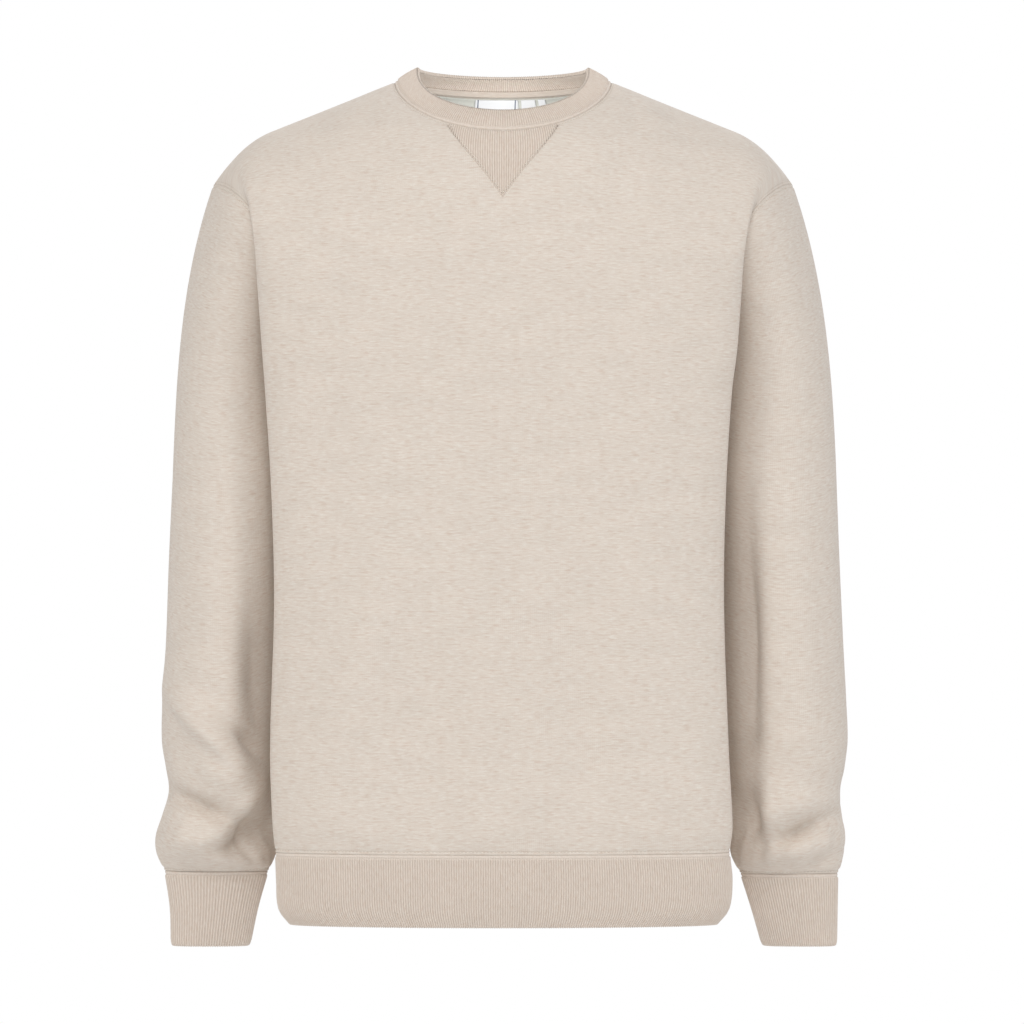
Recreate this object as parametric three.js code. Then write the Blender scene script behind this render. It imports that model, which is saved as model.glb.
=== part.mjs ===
// Crewneck sweatshirt with a ribbed V below the collar, kept in the shape it has when worn.
//
// Units are millimetres, +Z is up and the front faces -Y. Left and right are the wearer's, so
// the left sleeve lies at +X. The origin is the middle of the neck opening at the height of the
// two high shoulder points, where the garment is carried.
//
// Each cloth piece starts as a sheet, a grid of points on its outer face. Sheets that are sewn
// together share the points of their seam, and so its normals too. A sheet becomes a wall when
// its points are moved in along the normals and its rims are drawn back by half a seam gap.

import * as THREE from 'three';

// Cloth thicknesses. The ribbed bands are folded double.
const FLEECE_WALL = 2.0;
const BAND_WALL = 3.0;
const INSERT_WALL = 1.6;
const TAPE_WALL = 0.8;
const SEAM_GAP = 0.3;

// Heights of the body, measured down from the high shoulder points.
const HEM_Z = -703;
const HEM_SEAM_Z = -643;
const UNDERARM_Z = -262;
const YOKE_Z = -170;

// Neck seam: half its width at the shoulders, and its middle at the front and the back.
const NECK_HALF_WIDTH = 91;
const NECK_FRONT = { y: -95, z: -46, roundness: 1.15 };
const NECK_BACK = { y: 58, z: -8, roundness: 1.5 };

// Top edge of the collar, which leans in from the neck seam.
const COLLAR_HALF_WIDTH = 71;
const COLLAR_TOP_Z = 12.6;
const COLLAR_FRONT = { y: -84, z: -28, roundness: 0.85 };
const COLLAR_BACK = { y: 45, z: 8.2, roundness: 1 };
const COLLAR_SWELL = 1.2;

// Shoulder seam, straight from the neck and then bent down over the shoulder.
const SHOULDER_TIP_X = 243;
const SHOULDER_SLOPE = 0.4;
const SHOULDER_BEND_X = 195;
const SHOULDER_BEND = 0.0107;

// Places across half a body panel, from 0 at the centre line to 1 at the side seam.
const NECK_AT = 0.32;
const RIDGE_AT = 0.9;
const NECK_COLUMNS = 8;
const SHOULDER_COLUMNS = 8;
const LIP_COLUMNS = 3;

// Rows up a body panel: hem seam to underarm, underarm to yoke, yoke to shoulder.
const SIDE_SEAM_ROWS = 6;
const UNDERARM_ROWS = 4;
const YOKE_ROWS = 6;

// Sections of the body from the hem up. The front rolls round a soft ridge beside each arm and
// runs back to the seam, which lies deeper. Above the underarm the seam opens to the front and
// the back as the armhole. "tuck" is how hard the cloth turns in at the seam.
const BODY_ROWS = [
  { z: -703, ridgeLeft: 177, ridgeRight: 176, frontRidgeY: -68, frontY: -113,
    seamX: 164, seamY: 3, frontOpen: 0, backOpen: 0, tuck: 0, backRidgeX: 176, backRidgeY: 64, backY: 98 },
  { z: -690, ridgeLeft: 187, ridgeRight: 185.5, frontRidgeY: -70, frontY: -115,
    seamX: 169, seamY: 3, frontOpen: 0, backOpen: 0, tuck: 0, backRidgeX: 184, backRidgeY: 67, backY: 99 },
  { z: -666, ridgeLeft: 189.8, ridgeRight: 187.5, frontRidgeY: -71, frontY: -116,
    seamX: 170, seamY: 4, frontOpen: 0, backOpen: 0, tuck: 0, backRidgeX: 186, backRidgeY: 68, backY: 100 },
  { z: -643, ridgeLeft: 188, ridgeRight: 188.5, frontRidgeY: -70, frontY: -115,
    seamX: 170, seamY: 4, frontOpen: 0, backOpen: 0, tuck: 0, backRidgeX: 186, backRidgeY: 68, backY: 99 },
  { z: -622, ridgeLeft: 190, ridgeRight: 190.5, frontRidgeY: -74, frontY: -119,
    seamX: 168, seamY: 5, frontOpen: 0, backOpen: 0, tuck: 0, backRidgeX: 189, backRidgeY: 72, backY: 103 },
  { z: -558, ridgeLeft: 187, ridgeRight: 192.8, frontRidgeY: -72, frontY: -118,
    seamX: 165, seamY: 8, frontOpen: 0, backOpen: 0, tuck: 0, backRidgeX: 187, backRidgeY: 74, backY: 100 },
  { z: -434, ridgeLeft: 183, ridgeRight: 189.5, frontRidgeY: -72, frontY: -120,
    seamX: 163, seamY: 8, frontOpen: 0, backOpen: 0, tuck: 0, backRidgeX: 184, backRidgeY: 74, backY: 96 },
  { z: -340, ridgeLeft: 184.8, ridgeRight: 192, frontRidgeY: -73, frontY: -121,
    seamX: 165, seamY: 8, frontOpen: 0, backOpen: 0, tuck: 0, backRidgeX: 186, backRidgeY: 76, backY: 98 },
  { z: -262, ridgeLeft: 189.5, ridgeRight: 196.8, frontRidgeY: -75, frontY: -123,
    seamX: 169, seamY: 6, frontOpen: 0, backOpen: 0, tuck: 0, backRidgeX: 190, backRidgeY: 78, backY: 102 },
  { z: -225, ridgeLeft: 194, ridgeRight: 199.5, frontRidgeY: -76, frontY: -124,
    seamX: 173, seamY: 6, frontOpen: 26, backOpen: 26, tuck: 12, backRidgeX: 192, backRidgeY: 76, backY: 104 },
  { z: -170, ridgeLeft: 198, ridgeRight: 203.5, frontRidgeY: -76, frontY: -124,
    seamX: 179, seamY: 6, frontOpen: 56, backOpen: 52, tuck: 25, backRidgeX: 195, backRidgeY: 72, backY: 106 },
];

// Yoke of each panel. The cloth leaves the yoke line and arrives at the neck or shoulder seam
// with these directions, whose lengths say how far they carry.
const FRONT_YOKE = [
  { at: 0, leaveX: 0, leaveY: -4, leaveZ: 120, arriveX: 0, arriveY: 45, arriveZ: 105 },
  { at: 0.32, leaveX: -10, leaveY: 0, leaveZ: 200, arriveX: -110, arriveY: 190, arriveZ: 60 },
  { at: 0.6, leaveX: -2, leaveY: -5, leaveZ: 190, arriveX: 0, arriveY: 190, arriveZ: 40 },
  { at: 0.9, leaveX: 4, leaveY: -60, leaveZ: 150, arriveX: 10, arriveY: 170, arriveZ: 5 },
  { at: 1, leaveX: 40, leaveY: -110, leaveZ: 150, arriveX: 60, arriveY: 220, arriveZ: 10 },
];
const BACK_YOKE = [
  { at: 0, leaveX: 0, leaveY: 10, leaveZ: 150, arriveX: 0, arriveY: -75, arriveZ: 110 },
  { at: 0.32, leaveX: -10, leaveY: 5, leaveZ: 200, arriveX: -100, arriveY: -200, arriveZ: 60 },
  { at: 0.6, leaveX: -2, leaveY: 5, leaveZ: 190, arriveX: 0, arriveY: -180, arriveZ: 35 },
  { at: 0.9, leaveX: 6, leaveY: 55, leaveZ: 150, arriveX: 10, arriveY: -160, arriveZ: 5 },
  { at: 1, leaveX: 40, leaveY: 90, leaveZ: 150, arriveX: 60, arriveY: -200, arriveZ: 10 },
];

// Sections of each sleeve from the cuff seam up to the first full ring below the underarm.
const LEFT_SLEEVE_ROWS = [
  { z: -664, outer: 281, inner: 203, front: -25, back: 17 },
  { z: -648, outer: 286, inner: 196, front: -48, back: 38 },
  { z: -630, outer: 286.5, inner: 194, front: -55, back: 45 },
  { z: -612, outer: 284, inner: 192.5, front: -58, back: 48 },
  { z: -595, outer: 282, inner: 191, front: -59, back: 50 },
  { z: -575, outer: 286, inner: 189, front: -61, back: 53 },
  { z: -553, outer: 289, inner: 187, front: -62, back: 56 },
  { z: -520, outer: 288, inner: 184, front: -62, back: 59 },
  { z: -470, outer: 285.5, inner: 182, front: -61, back: 62 },
  { z: -400, outer: 282.5, inner: 180, front: -60, back: 65 },
  { z: -330, outer: 280, inner: 178, front: -58, back: 66 },
];
const RIGHT_SLEEVE_ROWS = [
  { z: -662, outer: 284, inner: 199, front: -25, back: 17 },
  { z: -648, outer: 290.5, inner: 195.5, front: -47, back: 38 },
  { z: -636, outer: 291.5, inner: 194, front: -54, back: 44 },
  { z: -618, outer: 287, inner: 193, front: -57, back: 47 },
  { z: -595, outer: 280.6, inner: 191, front: -59, back: 50 },
  { z: -575, outer: 283, inner: 189, front: -61, back: 53 },
  { z: -553, outer: 286.4, inner: 187, front: -62, back: 56 },
  { z: -520, outer: 286, inner: 184, front: -62, back: 59 },
  { z: -470, outer: 283, inner: 182, front: -61, back: 62 },
  { z: -400, outer: 280.6, inner: 180, front: -60, back: 65 },
  { z: -330, outer: 277.5, inner: 178, front: -58, back: 66 },
];
const SLEEVE_ROWS = 13;
const CAP_ROWS = 6;

// A seam is a sharp tuck where a sheet's own normal is further than this from the shared one.
const TUCK_COSINE = 0.75;

// Directions in which a sleeve leaves its armhole: at the underarm, at the front and back where
// it turns out of the tuck, and at the shoulder tip. "y" points to the middle of the sleeve.
const CAP_LEAVE_UNDERARM = { x: 30, y: 0, z: -50 };
const CAP_LEAVE_SIDE = { x: 80, y: 46, z: -70 };
const CAP_LEAVE_TIP = { x: 85, y: 0, z: -240 };
const CAP_ARRIVE = { outerX: 8, innerX: 2, outerZ: -240, innerZ: -60 };

// Sections of each cuff from its open edge up to its seam.
const LEFT_CUFF_ROWS = [
  { z: -725, outer: 280, inner: 217.5, front: -19, back: 12 },
  { z: -692, outer: 280.5, inner: 209, front: -21, back: 14 },
  { z: -664, outer: 281, inner: 203, front: -25, back: 17 },
];
const RIGHT_CUFF_ROWS = [
  { z: -725, outer: 278.5, inner: 212.5, front: -19, back: 12 },
  { z: -692, outer: 279.5, inner: 206, front: -21, back: 14 },
  { z: -662, outer: 284, inner: 199, front: -25, back: 17 },
];
const CUFF_ROWS = 2;

// Ribs raised on the bands: how many between two columns of the sheet, and how far they stand.
const COLLAR_RIBS = 3;
const HEM_RIBS = 2;
const CUFF_RIBS = 2;
const INSERT_RIBS = 2;
const RIB_HEIGHT = 0.6;

// Ribbed V on the front, from the neck seam to a point on the centre line.
const INSERT_HALF_AT = 0.103;
const INSERT_TIP = 0.56;
const INSERT_TOP = 0.985;
const INSERT_BLUNT = 0.04;
const INSERT_COLUMNS = 8;
const INSERT_ROWS = 6;
const INSERT_GAP = 0.95;

// Labels that hang inside the back neck, by their edges across and their length down.
const LABELS = [
  { name: 'neck_label', from: -23.5, to: 12.6, drop: 24 },
  { name: 'size_label', from: 15.1, to: 26.9, drop: 17 },
  { name: 'care_tab', from: 29.4, to: 35.3, drop: 13 },
];
const LABEL_GAP = 0.6;
const LABEL_START = 0.97;
const LABEL_ROWS = 3;
const BACK_YOKE_LENGTH = 178;

// Neck tape over the back of the collar seam, as shares of the collar's height.
const TAPE_FROM = 0.04;
const TAPE_TO = 0.28;

// Large folds. Each is a soft ridge (height above 0) or trough on one face, with its middle,
// its lean from upright in degrees, and half its length and width.
const SLEEVE_FOLDS = [
  { side: 1, face: -1, x: 206, z: -480, lean: 0, length: 85, width: 15, height: -8 },
  { side: 1, face: -1, x: 214, z: -608, lean: 10, length: 22, width: 13, height: 5 },
  { side: 1, face: -1, x: 203, z: -636, lean: 0, length: 26, width: 11, height: -7 },
  { side: 1, face: -1, x: 252, z: -618, lean: 80, length: 34, width: 9, height: -6 },
  { side: 1, face: 1, x: 238, z: -600, lean: -70, length: 36, width: 12, height: -6 },
  { side: 1, face: 1, x: 215, z: -470, lean: 12, length: 60, width: 18, height: -5 },
  { side: -1, face: -1, x: -250, z: -535, lean: 45, length: 42, width: 15, height: 5 },
  { side: -1, face: -1, x: -247, z: -606, lean: 72, length: 38, width: 10, height: -7 },
  { side: -1, face: -1, x: -207, z: -634, lean: 50, length: 26, width: 12, height: -7 },
  { side: -1, face: -1, x: -206, z: -560, lean: 0, length: 55, width: 14, height: -6 },
  { side: -1, face: 1, x: -240, z: -610, lean: 75, length: 36, width: 12, height: -6 },
  { side: -1, face: 1, x: -218, z: -480, lean: -10, length: 60, width: 18, height: -5 },
];
const BODY_FOLDS = [
  { face: -1, x: -118, z: -480, lean: -19, length: 120, width: 34, height: 4 },
  { face: -1, x: 60, z: -530, lean: 8, length: 110, width: 30, height: -3 },
  { face: -1, x: -60, z: -560, lean: -6, length: 90, width: 28, height: -3 },
  { face: 1, x: 40, z: -420, lean: -12, length: 130, width: 36, height: 5 },
  { face: 1, x: -90, z: -520, lean: 10, length: 110, width: 32, height: -4 },
];

// Colours of the cloth.
const FLEECE_COLOUR = '#ddd3c6';
const RIB_COLOUR = '#d0c3b4';
const TAPE_COLOUR = '#d6cbbd';
const LABEL_COLOUR = '#f3f3f4';

// Value on a cubic curve between two values, with its slope at each end.
function hermite(t, from, to, slopeFrom, slopeTo) {
  const t2 = t * t;
  const t3 = t2 * t;
  return (2 * t3 - 3 * t2 + 1) * from + (t3 - 2 * t2 + t) * slopeFrom
    + (3 * t2 - 2 * t3) * to + (t3 - t2) * slopeTo;
}

// Smooth curve through one column of a table, as a function of the key column.
function columnCurve(table, keyName, column) {
  const keys = table.map((row) => row[keyName]);
  const values = table.map((row) => row[column]);
  const last = keys.length - 1;
  const slopes = keys.map((key, i) => {
    const before = Math.max(i - 1, 0);
    const after = Math.min(i + 1, last);
    return (values[after] - values[before]) / (keys[after] - keys[before]);
  });
  return (key) => {
    const place = Math.min(Math.max(key, keys[0]), keys[last]);
    let i = 0;
    while (i < last - 1 && place > keys[i + 1]) {
      i += 1;
    }
    const step = keys[i + 1] - keys[i];
    return hermite((place - keys[i]) / step, values[i], values[i + 1], slopes[i] * step,
      slopes[i + 1] * step);
  };
}

// All columns of a table as curves, by name.
function tableCurves(table, keyName) {
  const names = Object.keys(table[0]).filter((name) => name !== keyName);
  return Object.fromEntries(names.map((name) => [name, columnCurve(table, keyName, name)]));
}

// Height of a set of folds at a point of one face.
function foldHeight(folds, x, z) {
  let height = 0;
  for (const fold of folds) {
    const lean = THREE.MathUtils.degToRad(fold.lean);
    const dx = x - fold.x;
    const dz = z - fold.z;
    const along = (dz * Math.cos(lean) - dx * Math.sin(lean)) / fold.length;
    const across = (dx * Math.cos(lean) + dz * Math.sin(lean)) / fold.width;
    height += fold.height * Math.exp(-along * along - across * across);
  }
  return height;
}

const body = tableCurves(BODY_ROWS, 'z');

// How far the armhole seam lies from the line of the side seam. Below the underarm it is shut.
function armholeOpen(curve, z) {
  return z <= UNDERARM_Z ? 0 : Math.max(0, curve(z));
}

// The front and the back of the body differ only in which columns they read.
const FRONT = {
  facing: -1,
  ridgeX: (side, z) => (side > 0 ? body.ridgeLeft(z) : body.ridgeRight(z)),
  ridgeY: body.frontRidgeY,
  centreY: body.frontY,
  seamY: (z) => body.seamY(z) - armholeOpen(body.frontOpen, z),
  yoke: tableCurves(FRONT_YOKE, 'at'),
  neck: NECK_FRONT,
  collar: COLLAR_FRONT,
  folds: BODY_FOLDS.filter((fold) => fold.face < 0),
};
const BACK = {
  facing: 1,
  ridgeX: (side, z) => body.backRidgeX(z),
  ridgeY: body.backRidgeY,
  centreY: body.backY,
  seamY: (z) => body.seamY(z) + armholeOpen(body.backOpen, z),
  yoke: tableCurves(BACK_YOKE, 'at'),
  neck: NECK_BACK,
  collar: COLLAR_BACK,
  folds: BODY_FOLDS.filter((fold) => fold.face > 0),
};

// Point of a level section of the body, "at" across one half of a panel.
function sectionPoint(face, side, at, z) {
  const ridgeX = face.ridgeX(side, z);
  const ridgeY = face.ridgeY(z);
  if (at <= RIDGE_AT) {
    const angle = (Math.PI / 2) * (at / RIDGE_AT);
    const x = side * ridgeX * Math.sin(angle);
    const y = ridgeY + (face.centreY(z) - ridgeY) * Math.cos(angle);
    return new THREE.Vector3(x, y + face.facing * foldHeight(face.folds, x, z), z);
  }
  const t = (at - RIDGE_AT) / (1 - RIDGE_AT);
  const seamY = face.seamY(z);
  const reach = seamY - ridgeY;
  const x = hermite(t, ridgeX, body.seamX(z), 0, -body.tuck(z));
  const foldY = face.facing * foldHeight(face.folds, side * ridgeX, z) * (1 - t);
  return new THREE.Vector3(side * x, hermite(t, ridgeY, seamY, reach, 0.9 * reach) + foldY, z);
}

// Point of the neck seam, a share of the way from the centre line to the high shoulder point.
function neckSeamPoint(face, side, share) {
  const angle = (Math.PI / 2) * share;
  const cosine = Math.max(Math.cos(angle), 0);
  return new THREE.Vector3(
    side * NECK_HALF_WIDTH * Math.sin(angle),
    face.neck.y * cosine,
    face.neck.z * cosine ** face.neck.roundness,
  );
}

// Point of the shoulder seam, a share of the way from the neck to the shoulder tip.
function shoulderPoint(side, share) {
  const x = NECK_HALF_WIDTH + (SHOULDER_TIP_X - NECK_HALF_WIDTH) * share;
  const bend = SHOULDER_BEND * Math.max(0, x - SHOULDER_BEND_X) ** 2;
  return new THREE.Vector3(side * x, 0, -SHOULDER_SLOPE * (x - NECK_HALF_WIDTH) - bend);
}

// Point of a body panel. Its level is 0 at the hem seam, 1 at the yoke line and 2 at the top.
function panelPoint(face, signedAt, level) {
  const side = signedAt < 0 ? -1 : 1;
  const at = Math.abs(signedAt);
  if (level <= 1) {
    return sectionPoint(face, side, at, HEM_SEAM_Z + (YOKE_Z - HEM_SEAM_Z) * level);
  }
  const low = sectionPoint(face, side, at, YOKE_Z);
  const top = at <= NECK_AT
    ? neckSeamPoint(face, side, at / NECK_AT)
    : shoulderPoint(side, (at - NECK_AT) / (1 - NECK_AT));
  const t = level - 1;
  const yoke = face.yoke;
  return new THREE.Vector3(
    hermite(t, low.x, top.x, side * yoke.leaveX(at), side * yoke.arriveX(at)),
    hermite(t, low.y, top.y, yoke.leaveY(at), yoke.arriveY(at)),
    hermite(t, low.z, top.z, yoke.leaveZ(at), yoke.arriveZ(at)),
  );
}

// Columns across half a panel, then across the whole of it.
function halfColumns() {
  const columns = [0];
  for (let i = 1; i <= NECK_COLUMNS; i += 1) {
    columns.push((NECK_AT * i) / NECK_COLUMNS);
  }
  for (let i = 1; i <= SHOULDER_COLUMNS; i += 1) {
    columns.push(NECK_AT + ((RIDGE_AT - NECK_AT) * i) / SHOULDER_COLUMNS);
  }
  for (let i = 1; i <= LIP_COLUMNS; i += 1) {
    columns.push(RIDGE_AT + ((1 - RIDGE_AT) * i) / LIP_COLUMNS);
  }
  return columns;
}

const HALF_COLUMNS = halfColumns();
const PANEL_COLUMNS = [...HALF_COLUMNS.slice(1).reverse().map((at) => -at), ...HALF_COLUMNS];
const UNDERARM_LEVEL = (UNDERARM_Z - HEM_SEAM_Z) / (YOKE_Z - HEM_SEAM_Z);

// Levels of the rows from the underarm to the shoulder, where the armhole is cut.
function armholeLevels() {
  const levels = [];
  for (let i = 0; i < UNDERARM_ROWS; i += 1) {
    levels.push(UNDERARM_LEVEL + ((1 - UNDERARM_LEVEL) * i) / UNDERARM_ROWS);
  }
  for (let i = 0; i <= YOKE_ROWS; i += 1) {
    levels.push(1 + i / YOKE_ROWS);
  }
  return levels;
}

const ARMHOLE_LEVELS = armholeLevels();

// Levels of all rows of a panel.
function panelLevels() {
  const levels = [];
  for (let i = 0; i < SIDE_SEAM_ROWS; i += 1) {
    levels.push((UNDERARM_LEVEL * i) / SIDE_SEAM_ROWS);
  }
  return [...levels, ...ARMHOLE_LEVELS];
}

const PANEL_LEVELS = panelLevels();

// Sheet of a body panel. Columns of the front run left to right and of the back right to left
// as seen from the front, so that both face out.
function panelSheet(face) {
  const rows = PANEL_LEVELS.map((level) => (
    PANEL_COLUMNS.map((at) => panelPoint(face, -face.facing * at, level))
  ));
  return { rows, closed: false };
}

// Where a value lies in a rising list, as the index before it and the share to the next.
function placeIn(list, value) {
  let index = 0;
  while (index < list.length - 2 && value > list[index + 1]) {
    index += 1;
  }
  return { index, share: (value - list[index]) / (list[index + 1] - list[index]) };
}

// Point between the points of a panel's sheet, moved out along its normals by a height.
function pointOnPanel(panel, normals, face, at, level, height) {
  const column = placeIn(PANEL_COLUMNS, -face.facing * at);
  const row = placeIn(PANEL_LEVELS, level);
  const raised = (j, i) => {
    const point = panel.rows[j][i];
    return point.clone().addScaledVector(normals(point), height);
  };
  const along = (j) => raised(j, column.index).lerp(raised(j, column.index + 1), column.share);
  return along(row.index).lerp(along(row.index + 1), row.share);
}

// Ring of points on both panels, from one function of face and signed place across.
function ringOf(columns, pointAt) {
  const front = columns.map((at) => pointAt(FRONT, at));
  const back = columns.map((at) => pointAt(BACK, -at));
  return [...front.slice(0, -1), ...back.slice(0, -1)];
}

// Sheet of the hem band, from its open edge up to the hem seam.
function hemSheet() {
  const heights = [HEM_Z, -690, HEM_SEAM_Z];
  const rows = heights.map((z) => ringOf(PANEL_COLUMNS, (face, at) => (
    sectionPoint(face, at < 0 ? -1 : 1, Math.abs(at), z)
  )));
  return { rows, closed: true };
}

// Point of the collar, a share of the way round one quarter and a share of its height up.
function collarPoint(face, side, share, rise) {
  const angle = (Math.PI / 2) * share;
  const cosine = Math.max(Math.cos(angle), 0);
  const seam = neckSeamPoint(face, side, share);
  const drop = COLLAR_TOP_Z - face.collar.z;
  const top = new THREE.Vector3(
    side * COLLAR_HALF_WIDTH * Math.sin(angle),
    face.collar.y * cosine,
    COLLAR_TOP_Z - drop * cosine ** face.collar.roundness,
  );
  const swell = COLLAR_SWELL * Math.sin(Math.PI * rise);
  const outward = new THREE.Vector3(side * Math.sin(angle), face.facing * cosine, 0.3).normalize();
  return seam.lerp(top, rise).addScaledVector(outward, swell);
}

const NECK_SHARES = PANEL_COLUMNS.filter((at) => Math.abs(at) <= NECK_AT + 1e-9)
  .map((at) => at / NECK_AT);

function collarSheet() {
  const rows = [0, 0.5, 1].map((rise) => ringOf(NECK_SHARES, (face, share) => (
    collarPoint(face, share < 0 ? -1 : 1, Math.abs(share), rise)
  )));
  return { rows, closed: true };
}

// Sheet of the neck tape on the inner face of the collar band, over its back half.
function tapeSheet(collar, normals) {
  const backStart = NECK_SHARES.length - 1;
  const columns = NECK_SHARES.map((share, i) => (backStart + i) % collar.rows[0].length);
  const depth = BAND_WALL + SEAM_GAP;
  const rows = [TAPE_FROM, TAPE_TO].map((rise) => columns.map((column) => {
    const low = collar.rows[0][column].clone().addScaledVector(normals(collar.rows[0][column]), -depth);
    const mid = collar.rows[1][column].clone().addScaledVector(normals(collar.rows[1][column]), -depth);
    return low.lerp(mid, rise * 2);
  }));
  return { rows, closed: false };
}

// Place round a sleeve ring for each point of its armhole, counter-clockwise seen from above.
const SLEEVE_COLUMNS = 2 * (ARMHOLE_LEVELS.length - 1);

// Armhole of one side as a ring of seam points that starts at the underarm.
function armholeRing(side) {
  const rising = side > 0 ? FRONT : BACK;
  const falling = side > 0 ? BACK : FRONT;
  const up = ARMHOLE_LEVELS.map((level) => panelPoint(rising, side, level));
  const down = ARMHOLE_LEVELS.slice(1, -1).reverse().map((level) => panelPoint(falling, side, level));
  return [...up, ...down];
}

// Level ring of a sleeve or cuff, with the folds of its sleeve.
function ovalRing(curves, side, z) {
  const folds = (face) => SLEEVE_FOLDS.filter((fold) => fold.side === side && fold.face === face);
  const middleX = (curves.outer(z) + curves.inner(z)) / 2;
  const middleY = (curves.front(z) + curves.back(z)) / 2;
  const halfWidth = (curves.outer(z) - curves.inner(z)) / 2;
  const halfDepth = (curves.back(z) - curves.front(z)) / 2;
  const start = side > 0 ? Math.PI : 0;
  const ring = [];
  for (let i = 0; i < SLEEVE_COLUMNS; i += 1) {
    const angle = start + (2 * Math.PI * i) / SLEEVE_COLUMNS;
    const cosine = Math.cos(angle);
    const sine = Math.sin(angle);
    const x = side * middleX + halfWidth * cosine;
    const rise = foldHeight(folds(sine < 0 ? -1 : 1), x, z) * Math.sqrt(Math.abs(sine));
    ring.push(new THREE.Vector3(x + rise * cosine, middleY + (halfDepth + rise) * sine, z));
  }
  return ring;
}

// Sheet of a sleeve, from the cuff seam up to the armhole.
function sleeveSheet(side) {
  const table = side > 0 ? LEFT_SLEEVE_ROWS : RIGHT_SLEEVE_ROWS;
  const curves = tableCurves(table, 'z');
  const bottom = table[0].z;
  const top = table[table.length - 1].z;
  const rows = [];
  for (let i = 0; i <= SLEEVE_ROWS; i += 1) {
    const share = (i / SLEEVE_ROWS) ** 1.35;
    rows.push(ovalRing(curves, side, bottom + (top - bottom) * share));
  }
  const full = rows[rows.length - 1];
  const armhole = armholeRing(side);
  for (let j = CAP_ROWS - 1; j >= 0; j -= 1) {
    const t = j / CAP_ROWS;
    rows.push(armhole.map((seam, i) => capPoint(side, seam, full[i], i, t)));
  }
  return { rows, closed: true };
}

// Point of a sleeve cap, between the armhole at t = 0 and the first full ring at t = 1.
function capPoint(side, seam, ring, i, t) {
  const angle = Math.PI + (2 * Math.PI * i) / SLEEVE_COLUMNS;
  const outerShare = (1 + Math.cos(angle)) / 2;
  const sideShare = Math.sin(angle) ** 2;
  const leave = (axis) => THREE.MathUtils.lerp(
    THREE.MathUtils.lerp(CAP_LEAVE_UNDERARM[axis], CAP_LEAVE_TIP[axis], outerShare),
    CAP_LEAVE_SIDE[axis],
    sideShare,
  );
  const arriveX = CAP_ARRIVE.innerX + (CAP_ARRIVE.outerX - CAP_ARRIVE.innerX) * outerShare;
  const arriveZ = CAP_ARRIVE.innerZ + (CAP_ARRIVE.outerZ - CAP_ARRIVE.innerZ) * outerShare;
  return new THREE.Vector3(
    hermite(t, seam.x, ring.x, side * leave('x'), side * arriveX),
    hermite(t, seam.y, ring.y, -Math.sign(seam.y) * leave('y'), 0),
    hermite(t, seam.z, ring.z, leave('z'), arriveZ),
  );
}

// Sheet of a cuff, from its open edge up to the cuff seam.
function cuffSheet(side) {
  const table = side > 0 ? LEFT_CUFF_ROWS : RIGHT_CUFF_ROWS;
  const curves = tableCurves(table, 'z');
  const bottom = table[0].z;
  const top = table[table.length - 1].z;
  const rows = [];
  for (let i = 0; i <= CUFF_ROWS; i += 1) {
    rows.push(ovalRing(curves, side, bottom + ((top - bottom) * i) / CUFF_ROWS));
  }
  return { rows, closed: true };
}

// Sheet of the ribbed V, laid on the front panel with its ribs upright.
function insertSheet(panel, normals) {
  const lift = INSERT_WALL + INSERT_GAP;
  const rows = [];
  for (let j = 0; j <= INSERT_ROWS; j += 1) {
    const row = [];
    for (let i = 0; i <= INSERT_COLUMNS; i += 1) {
      const across = (2 * i) / INSERT_COLUMNS - 1;
      const depth = (INSERT_TOP - INSERT_TIP) * (1 - Math.abs(across)) + INSERT_BLUNT;
      const level = 1 + INSERT_TOP - depth * (1 - j / INSERT_ROWS);
      row.push(pointOnPanel(panel, normals, FRONT, across * INSERT_HALF_AT, level, lift));
    }
    rows.push(row);
  }
  return { rows, closed: false };
}

// Place across the back panel of a point of the neck seam that lies x from the centre line.
function placeOnNeck(x) {
  return (NECK_AT * Math.asin(x / NECK_HALF_WIDTH)) / (Math.PI / 2);
}

// Sheet of a label that hangs inside the back neck.
function labelSheet(label, panel, normals) {
  const depth = FLEECE_WALL + LABEL_GAP;
  const middle = (label.from + label.to) / 2;
  const rows = [];
  for (let j = 0; j <= LABEL_ROWS; j += 1) {
    const share = 1 - j / LABEL_ROWS;
    const level = 1 + LABEL_START - (label.drop / BACK_YOKE_LENGTH) * share;
    rows.push([label.to, middle, label.from].map((x) => (
      pointOnPanel(panel, normals, BACK, placeOnNeck(x), level, -depth)
    )));
  }
  return { rows, closed: false };
}

function pointKey(point) {
  return [point.x, point.y, point.z].map((value) => Math.round(value * 1000)).join(' ');
}

// Normals of a set of sheets. Points that several sheets share have one normal between them.
function sheetNormals(sheets) {
  const sums = new Map();
  const addTo = (point, normal) => {
    const key = pointKey(point);
    if (!sums.has(key)) {
      sums.set(key, new THREE.Vector3());
    }
    sums.get(key).add(normal);
  };
  for (const { rows, closed } of sheets) {
    const columns = rows[0].length;
    const last = closed ? columns : columns - 1;
    for (let j = 0; j < rows.length - 1; j += 1) {
      for (let i = 0; i < last; i += 1) {
        const next = (i + 1) % columns;
        const corners = [rows[j][i], rows[j][next], rows[j + 1][next], rows[j + 1][i]];
        const rising = corners[2].clone().sub(corners[0]);
        const falling = corners[3].clone().sub(corners[1]);
        const normal = rising.cross(falling);
        const area = normal.length();
        corners.forEach((corner) => addTo(corner, normal.clone().divideScalar(Math.sqrt(area))));
      }
    }
  }
  return (point) => sums.get(pointKey(point)).clone().normalize();
}

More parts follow.
